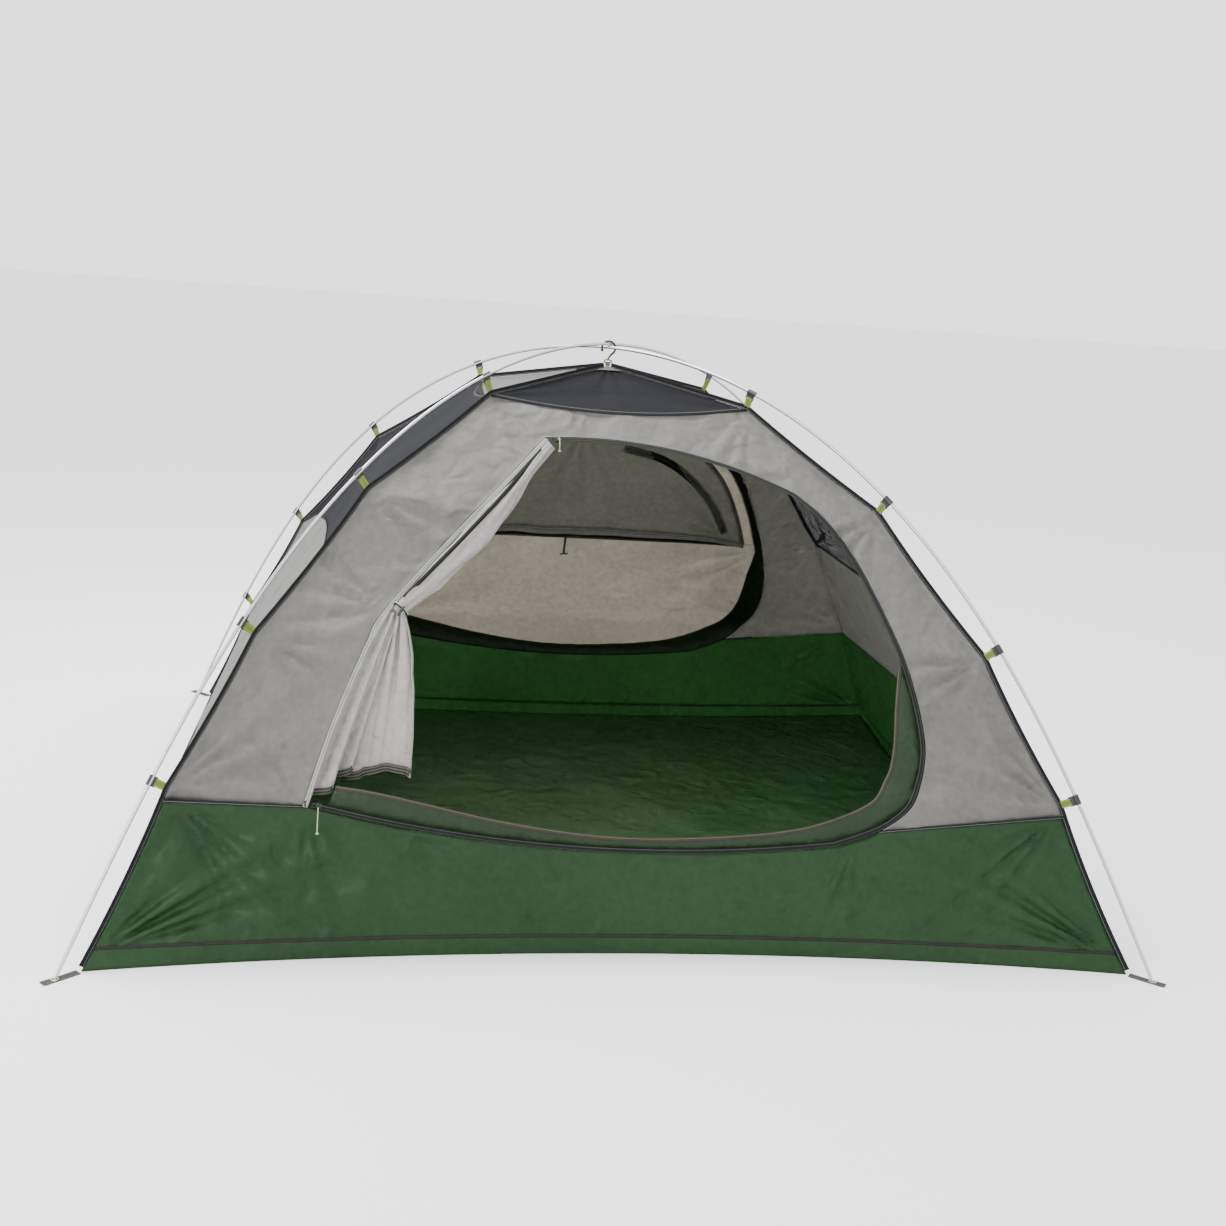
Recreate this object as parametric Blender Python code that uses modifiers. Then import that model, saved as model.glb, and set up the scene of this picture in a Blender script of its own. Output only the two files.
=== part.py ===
"""Freestanding two-pole dome tent.

Two hollow poles cross over a four-cornered fabric body. Webbing tabs sewn in the corner seams
end in snap clips that hook over the poles, and each pole end stands in a grommet in a foot strap.
The bathtub floor, the walls, the mesh panels and the roof are separate sewn panels. The front door
is rolled and tied back; the rear door is closed.

Units are metres. +Z is up, the front door faces -Y, and the origin is on the ground under the peak.
"""

import math

import bmesh
import bpy
import numpy as np
from mathutils import Matrix, Vector

# Driving sizes
FOOT_SPAN_X = 2.54
FOOT_SPAN_Y = 2.286
POLE_PEAK = 1.3826
POLE_DIAMETER = 0.0085
POLE_BORE = 0.0071
CLIP_DISTANCES = (0.468, 0.877, 1.346, 1.829)  # from the pole's foot, along the pole
TAB_REACH = 0.051  # pole centre to corner seam
FLOOR_INSET = 0.062  # pole foot to floor corner, along the diagonal
PEAK_DROP = 0.0586  # pole crossing to fabric peak

# Poles
POLE_SIDES = 8
POLE_STEP = 0.15
POLE_FOOT_LIFT = 0.0015
CROSSING_GAP = 0.0006
TIP_DIAMETER = 0.0044
TIP_LENGTH = 0.012
TIP_BORE = 0.002
TIP_PLUG_LENGTH = 0.030
SHOCK_CORD_DIAMETER = 0.0028
STRAIGHT_AT_CLIP = 0.020
RING_STEP = 0.0005
CORD_END_GAP = 0.002

# Fabric panels
FABRIC = 0.002
SEAM_GAP = 0.0015
CORNER_GAP = 0.004
BATHTUB_HEIGHT = 0.353
BATHTUB_DIP_LEFT = 0.012
BATHTUB_DIP_RIGHT = 0.050
BATHTUB_DIP_RIGHT_X = 0.62
FLOOR_SEAM_HEIGHT = 0.045
FLOOR_BOW_FRONT = 0.10
FLOOR_BOW_SIDE = 0.07
HEM_SAG = 0.026
ROOF_SAG = 0.026
SIDE_BOW = 0.035
LEFT_ARCH = 0.12
RIGHT_ARCH = 0.03
PANEL_COLUMNS = 12
ROOF_SHARES = (0.0, 0.25, 0.5, 0.75, 0.97)
ROOF_CORNER_CLOSING = 0.8

# Corner seam tape, webbing tabs and clips
TAPE_WIDTH = 0.010
TAPE_THICKNESS = 0.003
TAPE_CLEARANCE = 0.003
TAB_WIDTH = 0.019
TAB_THICKNESS = 0.0016
BAR_RADIUS = 0.0015
BAR_CLEARANCE = 0.0004
SLEEVE_WALL = 0.0011
TAB_SEWN_IN = 0.002
TAPE_TOP_REACH = 0.020
TAPE_FOOT_TRIM = 0.02  # share of the lowest seam stretch left free at the floor
CLIP_WIDTH = 0.0246
CLIP_BAR_DROP = 0.017  # pole centre to bar, inwards
CLIP_BAR_SHIFT = 0.004  # pole centre to bar, sideways
CLIP_WALL = 0.003
CLIP_FIT = 0.00035
CLIP_JAW_FROM = -40
CLIP_JAW_TO = 124
CLIP_JAW_TIP = 12
CLIP_SHANK_LOW = 0.5  # shares of the bar drop where the shank leaves the bar
CLIP_SHANK_HIGH = 0.65
CLIP_WINDOW_LOW = 0.0010
CLIP_WINDOW_OVER_SLEEVE = 0.0008
CLIP_WINDOW_SIDE = 0.0007
THROUGH = 0.02  # length of a cutter that passes right through a small piece

# Feet
STRAP_WIDTH = 0.022
STRAP_THICKNESS = 0.0018
STRAP_TAIL = 0.030
STRAP_FROM_FLOOR = 0.006
GROMMET_BORE_RADIUS = 0.0050
GROMMET_WALL = 0.0012
GROMMET_FLANGE_RADIUS = 0.0095
GROMMET_FLANGE = 0.0010
GROMMET_GAP = 0.0003
GROMMET_SIDES = 16

# Hook over the crossing
HOOK_ROD = 0.0070
HOOK_INNER_RADIUS = 0.0155
HOOK_REST_GAP = 0.0004
HOOK_FROM = 212
HOOK_TO = -62
HOOK_NECK = 0.0015
HOOK_BAR_ABOVE_PEAK = 0.0125
HOOK_BAR_LENGTH = 0.018
HOOK_BAR_RADIUS = 0.0018
HOOK_BAR_SHARE = 0.6  # of the bar's radius, from its middle to the top of the bar
HOOK_RING_WALL = 0.0022
HOOK_RING_HEIGHT = 0.0075
PEAK_TAB_WIDTH = 0.014
PEAK_TAB_FOOT = 0.004

# Doors and zips
DOOR_TOP_X = -0.205
DOOR_TOP_ARC_END_X = 0.44
DOOR_TOP_ARC_CENTRE_X = -0.09
DOOR_TOP_ARC_RADIUS = 0.95
DOOR_TOP_ARC_RISE = 0.218  # above the third clip seam, up the slope
DOOR_SIDE = ((0.545, 0.965), (0.622, 0.840), (0.690, 0.682), (0.722, 0.560),
             (0.726, 0.470), (0.694, 0.385), (0.620, 0.315))
DOOR_BOTTOM_ARC_CENTRE_X = 0.08
DOOR_BOTTOM_ARC_RADIUS = 3.4
DOOR_BOTTOM_Z = 0.240
DOOR_BOTTOM_END_X = 0.50
DOOR_BOTTOM_START_X = -0.762
DOOR_HINGE = ((-0.705, 0.520), (-0.635, 0.690), (-0.590, 0.768), (-0.405, 0.965))
ZIP_PLANE_PROUD = 0.0076  # lower zip's upright plane, outside the top of the bathtub
DRAWN_PEAK = 1.3826  # pole peak that the doorway's heights are drawn for
LEAST_STEP = 0.003
DOOR_CUT_FROM = 0.2
DOOR_CUT_TO = 1.3
ZIP_HALF_WIDTH = 0.012
ZIP_THICKNESS = 0.0016
ZIP_GAP = 0.002
FLAP_INNER = ((0.676, 0.690), (0.662, 0.586), (0.652, 0.490), (0.630, 0.425), (0.571, 0.365),
              (0.407, 0.303), (0.163, 0.277), (-0.061, 0.277), (-0.301, 0.309), (-0.560, 0.366),
              (-0.690, 0.385))
FLAP_DEPTH = 0.012
FLAP_COLUMNS = 43
SLIDER_LENGTH = 0.013
SLIDER_PLATE = 0.0018
SLIDER_OVERLAP = 0.008
SLIDER_GAP = 0.0010
SLIDER_FROM_DOOR_END = 0.034
ZIP_END = 0.019
PULL_DIAMETER = 0.0025
PULL_LENGTH = 0.060
PULL_SWING = 0.026
PULL_GAP = 0.0003
PULL_STEPS = 10
PULL_BEND_FROM = 0.35  # shares of the cord's length
PULL_BEND = 0.5
ROLL_HALF_WIDTHS = (0.016, 0.028, 0.034, 0.032, 0.024, 0.016)
TAIL_BOTTOM = (-0.597, 0.385)
TAIL_BEHIND_ZIP = 0.104  # how far inside the lower zip's plane the tail hangs
TAIL_HALF_WIDTHS = (0.028, 0.046, 0.060, 0.072, 0.078)
TAIL_HALF_THICKNESS = 0.020
TAIL_SHARES = (0.09, 0.26, 0.48, 0.74, 1.0)
ROLL_GAP = 0.010
ROLL_SIDES = 12
ROLL_FLATTENING = 0.75
CURTAIN_BOTTOM = (-0.655, 0.405)
CURTAIN_GAP = 0.004
CURTAIN_ROWS = 12
TIE_GAP = 0.003
TIE_UP_THE_ROLL = 0.010
TIE_WALL = 0.003
TIE_WIDTH = 0.006
TIE_TOGGLE_LENGTH = 0.028
TIE_TOGGLE_DIAMETER = 0.006
TIE_TOGGLE_SEAT = 0.3  # share of its diameter
TIE_SIDES = 16

# Rear door and its window
REAR_ZIP_WIDTH = 0.020
REAR_ZIP_END = 0.055
REAR_DOOR_GAP = 0.004
REAR_SHEET_SPARE = 0.03
WINDOW_MARGIN = 0.040
WINDOW_SILL_Z = 0.695
WINDOW_GAP = 0.0015
WINDOW_ZIP = ((0.150, 1.052), (0.290, 1.012), (0.400, 0.945), (0.490, 0.855), (0.560, 0.745))
WINDOW_ZIP_WIDTH = 0.026
WINDOW_ZIP_DEPTH = 0.006
WINDOW_MESH = 0.0012
TOGGLE_X = 0.0
TOGGLE_CLEARANCE = 0.0035
TOGGLE_DROP = 0.060
TOGGLE_STRAP_WIDTH = 0.008
TOGGLE_STRAP_THICKNESS = 0.0015
TOGGLE_LENGTH = 0.030
TOGGLE_DIAMETER = 0.005

HALF_DIAGONAL = math.hypot(FOOT_SPAN_X, FOOT_SPAN_Y) / 2
AXIS_X = FOOT_SPAN_X / 2 / HALF_DIAGONAL
AXIS_Y = FOOT_SPAN_Y / 2 / HALF_DIAGONAL
CORNERS = {"front_left": (-1, -1), "front_right": (1, -1), "rear_left": (-1, 1), "rear_right": (1, 1)}


# Scene, materials and mesh helpers

for old in list(bpy.data.objects):
    bpy.data.objects.remove(old, do_unlink=True)

TENT = bpy.data.collections.new("dome_tent")
CUTTERS = bpy.data.collections.new("cutters")
bpy.context.scene.collection.children.link(TENT)
bpy.context.scene.collection.children.link(CUTTERS)


def make_material(name, colour, roughness, metallic=0.0, alpha=1.0):
    made = bpy.data.materials.new(name)
    made.use_nodes = True
    shader = made.node_tree.nodes["Principled BSDF"]
    shader.inputs["Base Color"].default_value = (*colour, 1.0)
    shader.inputs["Roughness"].default_value = roughness
    shader.inputs["Metallic"].default_value = metallic
    shader.inputs["Alpha"].default_value = alpha
    return made


GREY = make_material("grey_polyester", (0.42, 0.41, 0.38), 0.8)
GREEN = make_material("green_polyester", (0.05, 0.14, 0.07), 0.6)
MESH = make_material("charcoal_mesh", (0.03, 0.03, 0.035), 0.9)
ALUMINIUM = make_material("aluminium_tube", (0.72, 0.72, 0.74), 0.3, 1.0)
BLACK_PLASTIC = make_material("black_plastic", (0.01, 0.01, 0.01), 0.45)
LIME_WEBBING = make_material("lime_webbing", (0.20, 0.28, 0.04), 0.85)
DARK_WEBBING = make_material("dark_webbing", (0.03, 0.03, 0.03), 0.9)
BINDING = make_material("binding_tape", (0.025, 0.025, 0.025), 0.85)
ZIP_TAPE = make_material("zip_tape", (0.05, 0.05, 0.045), 0.8)
BRASS = make_material("brass_grommet", (0.45, 0.36, 0.18), 0.35, 1.0)
SLIDER_METAL = make_material("slider_metal", (0.02, 0.02, 0.02), 0.35, 0.6)
PULL_CORD = make_material("pull_cord", (0.35, 0.50, 0.22), 0.85)
SHOCK_CORD = make_material("shock_cord", (0.02, 0.02, 0.02), 0.8)


def put(name, mesh, material=None, collection=TENT):
    """A new object for a mesh. A cutter has no material and stays hidden from renders."""
    made = bpy.data.objects.new(name, mesh)
    collection.objects.link(made)
    if material is None:
        made.hide_render = True
        made.display_type = "WIRE"
    else:
        mesh.materials.append(material)
    return made


def bmesh_to_mesh(name, built):
    bmesh.ops.recalc_face_normals(built, faces=built.faces)
    mesh = bpy.data.meshes.new(name)
    built.to_mesh(mesh)
    built.free()
    return mesh


def grid_mesh(name, rows):
    """An open quad surface through rows of points, all rows of one length."""
    rows = np.asarray(rows, float)
    down, across, _ = rows.shape
    index = np.arange(down * across).reshape(down, across)
    quads = np.stack([index[:-1, :-1], index[:-1, 1:], index[1:, 1:], index[1:, :-1]], axis=-1)
    mesh = bpy.data.meshes.new(name)
    mesh.from_pydata(rows.reshape(-1, 3).tolist(), [], quads.reshape(-1, 4).tolist())
    return mesh


def solidify(obj, thickness, offset=0.0):
    wall = obj.modifiers.new("thickness", "SOLIDIFY")
    wall.thickness = thickness
    wall.offset = offset
    wall.use_even_offset = True
    return obj


def sheet(name, rows, material, thickness=FABRIC):
    """A thin fabric panel centred on the surface through the rows."""
    return solidify(put(name, grid_mesh(name, rows), material), thickness)


def combine(obj, other, operation):
    step = obj.modifiers.new(operation.lower() + "_" + other.name, "BOOLEAN")
    step.operation = operation
    step.object = other
    return obj


def box_mesh(name, size, centre=(0, 0, 0)):
    built = bmesh.new()
    bmesh.ops.create_cube(built, size=1.0)
    bmesh.ops.scale(built, vec=size, verts=built.verts)
    bmesh.ops.translate(built, vec=centre, verts=built.verts)
    return bmesh_to_mesh(name, built)


def cylinder_mesh(name, radius, length, sides=10):
    """A cylinder along local X, centred on the origin."""
    built = bmesh.new()
    bmesh.ops.create_cone(built, cap_ends=True, segments=sides, radius1=radius, radius2=radius,
                          depth=length)
    bmesh.ops.rotate(built, matrix=Matrix.Rotation(math.pi / 2, 3, "Y"), verts=built.verts)
    return bmesh_to_mesh(name, built)


def prism_mesh(name, outline, low, high, axes=(0, 2, 1)):
    """A prism on a closed flat outline. axes gives the two axes of the outline, then the prism's."""
    built = bmesh.new()
    flat = np.zeros((len(outline), 3))
    flat[:, axes[0]] = [point[0] for point in outline]
    flat[:, axes[1]] = [point[1] for point in outline]
    flat[:, axes[2]] = low
    face = built.faces.new([built.verts.new(point) for point in flat])
    grown = bmesh.ops.extrude_face_region(built, geom=[face])
    moved = [item for item in grown["geom"] if isinstance(item, bmesh.types.BMVert)]
    shift = [0.0, 0.0, 0.0]
    shift[axes[2]] = high - low
    bmesh.ops.translate(built, vec=shift, verts=moved)
    return bmesh_to_mesh(name, built)


def loft_mesh(name, rings):
    """A closed body through rings of points, with a cap on each end."""
    rings = np.asarray(rings, float)
    count, around, _ = rings.shape
    built = bmesh.new()
    verts = [[built.verts.new(point) for point in ring] for ring in rings]
    for i in range(count - 1):
        for j in range(around):
            k = (j + 1) % around
            built.faces.new((verts[i][j], verts[i][k], verts[i + 1][k], verts[i + 1][j]))
    built.faces.new(verts[0])
    built.faces.new(verts[-1])
    return bmesh_to_mesh(name, built)


def rod(name, points, diameter, material, resolution=2, collection=TENT):
    """A round rod along a list of points, as a curve turned into a mesh with welded caps."""
    curve = bpy.data.curves.new(name, "CURVE")
    curve.dimensions = "3D"
    curve.bevel_depth = diameter / 2
    curve.bevel_resolution = resolution
    curve.use_fill_caps = True
    spline = curve.splines.new("POLY")
    spline.points.add(len(points) - 1)
    for slot, point in zip(spline.points, points):
        slot.co = (*point, 1.0)
    holder = bpy.data.objects.new(name, curve)
    bpy.context.scene.collection.objects.link(holder)
    graph = bpy.context.evaluated_depsgraph_get()
    mesh = bpy.data.meshes.new_from_object(holder.evaluated_get(graph))
    bpy.data.objects.remove(holder, do_unlink=True)
    bpy.data.curves.remove(curve)
    built = bmesh.new()
    built.from_mesh(mesh)
    bmesh.ops.remove_doubles(built, verts=built.verts, dist=1e-6)
    built.to_mesh(mesh)
    built.free()
    mesh.materials.clear()
    return put(name, mesh, material, collection)


def basis(x_axis, z_axis, origin):
    """A placing matrix from its X direction, a Z direction to square up, and its origin."""
    x = Vector(x_axis).normalized()
    y = Vector(z_axis).cross(x).normalized()
    z = x.cross(y)
    placed = Matrix((x, y, z)).transposed().to_4x4()
    placed.translation = Vector(origin)
    return placed


def smooth_path(knots, steps=6):
    """A Catmull-Rom curve through the knots, with the given steps between each two."""
    knots = np.asarray(knots, float)
    padded = np.vstack([2 * knots[0] - knots[1], knots, 2 * knots[-1] - knots[-2]])
    points = []
    for a, b, c, d in zip(padded[:-3], padded[1:-2], padded[2:-1], padded[3:]):
        for t in np.arange(steps) / steps:
            points.append(0.5 * (2 * b + (c - a) * t + (2 * a - 5 * b + 4 * c - d) * t**2
                                 + (3 * b - a - 3 * c + d) * t**3))
    return np.vstack([points, knots[-1]])


def offset_path(points, distance, closed=False):
    """A flat path moved sideways, to the right of its direction of travel."""
    points = np.asarray(points, float)
    if closed:
        ahead = np.roll(points, -1, axis=0) - np.roll(points, 1, axis=0)
    else:
        ahead = np.gradient(points, axis=0)
    ahead /= np.linalg.norm(ahead, axis=1)[:, None]
    return points + distance * np.stack([ahead[:, 1], -ahead[:, 0]], axis=1)


def resample(points, count):
    """The same path with evenly spaced points."""
    points = np.asarray(points, float)
    along = np.concatenate([[0], np.cumsum(np.linalg.norm(np.diff(points, axis=0), axis=1))])
    wanted = np.linspace(0, along[-1], count)
    return np.stack([np.interp(wanted, along, column) for column in points.T], axis=1)


# Pole shape

def bent_rod(half_span, rise, steps=600):
    """One half of a straight rod bent between two feet, from the foot to the crown.

    Rows are distance along the rod, reach from the middle and height. With k the sine of half the
    foot slope and p running from 90 degrees at the foot to 0 at the crown, the height goes as
    2 k cos p and the reach as the integral of (1 - 2 k2 sin2 p) / sqrt(1 - k2 sin2 p).
    """
    angle = np.linspace(0, math.pi / 2, steps)

    def integrals(k):
        root = np.sqrt(1 - (k * np.sin(angle)) ** 2)
        step = angle[1] - angle[0]
        reach = (1 - 2 * (k * np.sin(angle)) ** 2) / root
        length = 1 / root
        return [np.concatenate([[0], np.cumsum((value[1:] + value[:-1]) / 2 * step)])
                for value in (reach, length)]

    low, high = 0.01, 0.85
    for _ in range(60):
        k = (low + high) / 2
        reach, length = integrals(k)
        if 2 * k / reach[-1] > rise / half_span:
            high = k
        else:
            low = k
    scale = half_span / reach[-1]
    rows = np.stack([length[-1] - length, reach, 2 * k * np.cos(angle)], axis=1) * scale
    return rows[::-1]


class Pole:
    """A bent pole in its own diagonal plane: where it is at a distance from either foot."""

    def __init__(self, crown_height):
        self.half = bent_rod(HALF_DIAGONAL, crown_height - POLE_FOOT_LIFT)
        self.length = 2 * self.half[-1, 0]

    def at(self, distance):
        """Reach (negative before the crown, positive after) and height."""
        folded = min(distance, self.length - distance)
        reach = np.interp(folded, self.half[:, 0], self.half[:, 1])
        height = np.interp(folded, self.half[:, 0], self.half[:, 2]) + POLE_FOOT_LIFT
        return (-reach if distance < self.length / 2 else reach), height

    def stations(self):
        """Distances of the tube's rings: the tips, straight stretches at the clips, and the rest."""
        fixed = [0.0, TIP_LENGTH, TIP_LENGTH + RING_STEP]
        fixed += [TIP_PLUG_LENGTH, TIP_PLUG_LENGTH + RING_STEP]
        for distance in CLIP_DISTANCES + (self.length / 2,):
            fixed += [distance - STRAIGHT_AT_CLIP, distance + STRAIGHT_AT_CLIP]
        fixed += [self.length - distance for distance in fixed]
        fixed = sorted(set(np.round(fixed, 7)))
        rings = []
        for a, b in zip(fixed[:-1], fixed[1:]):
            rings += list(np.linspace(a, b, max(1, round((b - a) / POLE_STEP)), endpoint=False))
        return rings + [fixed[-1]]


CROSSING_OFFSET = (POLE_DIAMETER + CROSSING_GAP) / 2
OVER_POLE = Pole(POLE_PEAK + CROSSING_OFFSET)
UNDER_POLE = Pole(POLE_PEAK - CROSSING_OFFSET)
MEAN_POLE = Pole(POLE_PEAK)


def diagonal_point(corner, reach, height):
    """A point in the upright plane through the middle and one corner."""
    return Vector((corner[0] * AXIS_X * reach, corner[1] * AXIS_Y * reach, height))


def pole_frame(pole, corner, distance):
    """Pole centre, uphill direction and outward normal at a distance from the corner's foot."""
    before = pole.at(distance - STRAIGHT_AT_CLIP)
    after = pole.at(distance + STRAIGHT_AT_CLIP)
    low = diagonal_point(corner, abs(before[0]), before[1])
    high = diagonal_point(corner, abs(after[0]), after[1])
    uphill = (high - low).normalized()
    outward_flat = diagonal_point(corner, 1, 0)
    outward = (outward_flat - uphill * outward_flat.dot(uphill)).normalized()
    return (low + high) / 2, uphill, outward


def build_pole(name, pole, corner):
    """A hollow tube along the bent centre line from the given corner to the opposite one."""
    across = Vector((corner[1] * AXIS_Y, -corner[0] * AXIS_X, 0))
    rings = pole.stations()
    centres = []
    for distance in rings:
        reach, height = pole.at(distance)
        centres.append(diagonal_point(corner, -reach, height))
    outer, inner = [], []
    for i, distance in enumerate(rings):
        edge = min(distance, pole.length - distance)
        outer_radius = TIP_DIAMETER / 2 if edge <= TIP_LENGTH + 1e-6 else POLE_DIAMETER / 2
        inner_radius = TIP_BORE / 2 if edge <= TIP_PLUG_LENGTH + 1e-6 else POLE_BORE / 2
        ahead = centres[min(i + 1, len(rings) - 1)] - centres[max(i - 1, 0)]
        side = ahead.cross(across).normalized()
        for radius, ring_list in ((outer_radius, outer), (inner_radius, inner)):
            ring = []
            for j in range(POLE_SIDES):
                turn = 2 * math.pi * j / POLE_SIDES
                ring.append(centres[i] + radius * (math.cos(turn) * across + math.sin(turn) * side))
            ring_list.append(ring)
    built = bmesh.new()
    loop = outer + inner[::-1]
    verts = [[built.verts.new(point) for point in ring] for ring in loop]
    for i in range(len(loop)):
        for j in range(POLE_SIDES):
            k = (j + 1) % POLE_SIDES
            n = (i + 1) % len(loop)
            built.faces.new((verts[i][j], verts[i][k], verts[n][k], verts[n][j]))
    tube = put(name, bmesh_to_mesh(name, built), ALUMINIUM)
    tube.data.shade_smooth()
    start = TIP_PLUG_LENGTH + CORD_END_GAP
    inside = [c for c, d in zip(centres, rings) if start < d < pole.length - start]
    rod(name.replace("pole", "shock_cord"), inside, SHOCK_CORD_DIAMETER, SHOCK_CORD)


build_pole("pole_over", OVER_POLE, CORNERS["front_left"])
build_pole("pole_under", UNDER_POLE, CORNERS["front_right"])
POLE_OF = {"front_left": OVER_POLE, "rear_right": OVER_POLE,
           "front_right": UNDER_POLE, "rear_left": UNDER_POLE}


# Corner seams, worked out from the clips

def seam_levels():
    """Reach and height of the corner seam at the floor, at each clip and at the peak."""
    levels = [(HALF_DIAGONAL - FLOOR_INSET, 0.0)]
    for distance in CLIP_DISTANCES:
        centre, _, outward = pole_frame(MEAN_POLE, (1, 1), distance)
        point = centre - outward * TAB_REACH
        levels.append((math.hypot(point.x, point.y), point.z))
    levels.append((0.0, POLE_PEAK - PEAK_DROP))
    return np.array(levels)


SEAM = seam_levels()
SEAM_HEIGHTS = SEAM[:, 1]
PEAK_HEIGHT = SEAM_HEIGHTS[-1]


def seam_reach(height):
    return np.interp(height, SEAM_HEIGHTS, SEAM[:, 0])


def wall_half_width(height, axis):
    """Half the width of a wall at a height, out to the corner gap."""
    return seam_reach(height) * axis - CORNER_GAP


def front_surface(x, z):
    """Distance of the front wall from the middle plane; the rear wall is its mirror image."""
    half = seam_reach(z) * AXIS_X
    bow = FLOOR_BOW_FRONT * np.clip(1 - np.asarray(z) / BATHTUB_HEIGHT, 0, 1)
    return seam_reach(z) * AXIS_Y - bow * (1 - (x / half) ** 2)


def bathtub_top(x):
    """Height of the seam between the bathtub and the front or rear wall."""
    half = wall_half_width(BATHTUB_HEIGHT, AXIS_X)
    left = np.clip((half + x) / (half + DOOR_BOTTOM_START_X), 0, 1) * BATHTUB_DIP_LEFT
    right = np.clip((half - x) / (half - BATHTUB_DIP_RIGHT_X), 0, 1) * BATHTUB_DIP_RIGHT
    return BATHTUB_HEIGHT - np.where(x > 0, right, left)


SPREAD = np.linspace(-1, 1, PANEL_COLUMNS + 1)


def end_wall_rows(side):
    """Rows of a grey end wall from the bathtub seam to the sagging top hem. side is -1 or 1."""
    rows = []
    levels = [BATHTUB_HEIGHT + SEAM_GAP, *SEAM_HEIGHTS[1:5]]
    for i, level in enumerate(levels):
        x = SPREAD * wall_half_width(level, AXIS_X)
        z = np.full_like(x, level)
        if i == 0:
            z = bathtub_top(x) + SEAM_GAP
        if i == len(levels) - 1:
            z = z - SEAM_GAP - HEM_SAG * (1 - SPREAD**2)
        rows.append(np.stack([x, side * front_surface(x, z), z], axis=1))
    return rows


def side_wall_rows(side, levels):
    """Rows of a left or right wall. levels are (seam height, height at each column) pairs."""
    rows = []
    for seam_height, heights in levels:
        y = SPREAD * wall_half_width(seam_height, AXIS_Y)
        rows.append(np.stack([side * seam_reach(heights) * AXIS_X, y, heights], axis=1))
    return rows


def arch(side):
    """Top edge of the grey side panel, between the second clips."""
    rise = LEFT_ARCH if side < 0 else RIGHT_ARCH
    return SEAM_HEIGHTS[2] + rise * (1 - SPREAD**4)


def roof_rows(axis, across, side):
    """Spread, outward distance and height of one roof facet's rows, from its hem to near the peak."""
    rows = []
    for t in ROOF_SHARES:
        height = SEAM_HEIGHTS[4] + (PEAK_HEIGHT - SEAM_HEIGHTS[4]) * t
        reach = SEAM[4, 0] * (1 - t)
        spread = SPREAD * (reach * across - CORNER_GAP * (1 - t * ROOF_CORNER_CLOSING))
        sag = ROOF_SAG * (1 - t) * (1 - SPREAD**2)
        out = np.full_like(spread, side * reach * axis)
        lift = np.full_like(spread, height) - sag + (SEAM_GAP if t == 0 else 0)
        rows.append((spread, out, lift))
    return rows


# Bathtub floor

def bathtub():
    """The floor tray: a bowed floor edge and four leaning walls up to the bathtub seam."""
    loops = []
    for height in (0.0, FLOOR_SEAM_HEIGHT, BATHTUB_HEIGHT):
        half_x = wall_half_width(height, AXIS_X)
        x = SPREAD * half_x
        level = np.full_like(x, height)
        z = bathtub_top(x) if height == BATHTUB_HEIGHT else level
        y = front_surface(x, z) - CORNER_GAP
        side_x = half_x - FLOOR_BOW_SIDE * (1 - height / BATHTUB_HEIGHT) * (1 - SPREAD**2)
        side_y = SPREAD * wall_half_width(height, AXIS_Y)
        front = np.stack([x, -y, z], axis=1)
        right = np.stack([side_x, side_y, level], axis=1)
        rear = np.stack([x, y, z], axis=1)[::-1]
        left = np.stack([-side_x, side_y, level], axis=1)[::-1]
        loops.append(np.vstack([front[:-1], right[:-1], rear[:-1], left[:-1]]))
    built = bmesh.new()
    rings = [[built.verts.new(point) for point in loop] for loop in loops]
    middle = built.verts.new((0, 0, 0))
    count = len(loops[0])
    for j in range(count):
        k = (j + 1) % count
        built.faces.new((middle, rings[0][k], rings[0][j]))
        for low, high in zip(rings[:-1], rings[1:]):
            built.faces.new((low[j], low[k], high[k], high[j]))
    return bmesh_to_mesh("bathtub_floor", built)


# Door outline

ZIP_PLANE_Y = float(seam_reach(BATHTUB_HEIGHT)) * AXIS_Y + ZIP_PLANE_PROUD


def drawn(height):
    """A height drawn for the design peak, moved with the pole's peak where it is above the bathtub."""
    share = (POLE_PEAK - BATHTUB_HEIGHT) / (DRAWN_PEAK - BATHTUB_HEIGHT)
    return BATHTUB_HEIGHT + (height - BATHTUB_HEIGHT) * share if height > BATHTUB_HEIGHT else height


def drawn_path(points):
    """Points of x and height with their heights moved with the pole's peak."""
    return [(x, drawn(height)) for x, height in points]


SIDE_OUTLINE = drawn_path(DOOR_SIDE)
HINGE_OUTLINE = drawn_path(DOOR_HINGE)
SILL_HEIGHT = drawn(WINDOW_SILL_Z)
TAIL_END = (TAIL_BOTTOM[0], -ZIP_PLANE_Y + TAIL_BEHIND_ZIP, drawn(TAIL_BOTTOM[1]))

FACET_LOW = np.array([SEAM[3, 0] * AXIS_Y, SEAM_HEIGHTS[3]])
FACET_HIGH = np.array([SEAM[4, 0] * AXIS_Y, SEAM_HEIGHTS[4]])
FACET_UP = (FACET_HIGH - FACET_LOW) / np.linalg.norm(FACET_HIGH - FACET_LOW)
WALL_HEIGHTS = np.array([0, BATHTUB_HEIGHT, *SEAM_HEIGHTS[1:5]])
WALL_STEPS = np.hypot(np.diff(WALL_HEIGHTS), np.diff(seam_reach(WALL_HEIGHTS) * AXIS_Y))
WALL_STEPS[0] = BATHTUB_HEIGHT
WALL_CLIMB = np.concatenate([[0], np.cumsum(WALL_STEPS)])


def on_cloth(points):
    """From x and height to x and distance up the cloth, so that widths are true widths."""
    x, z = np.asarray(points, float).T
    return np.stack([x, np.interp(z, WALL_HEIGHTS, WALL_CLIMB)], axis=1)


def off_cloth(points):
    """From x and distance up the cloth back to x and height."""
    x, climb = np.asarray(points, float).T
    return np.stack([x, np.interp(climb, WALL_CLIMB, WALL_HEIGHTS)], axis=1)


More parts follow.
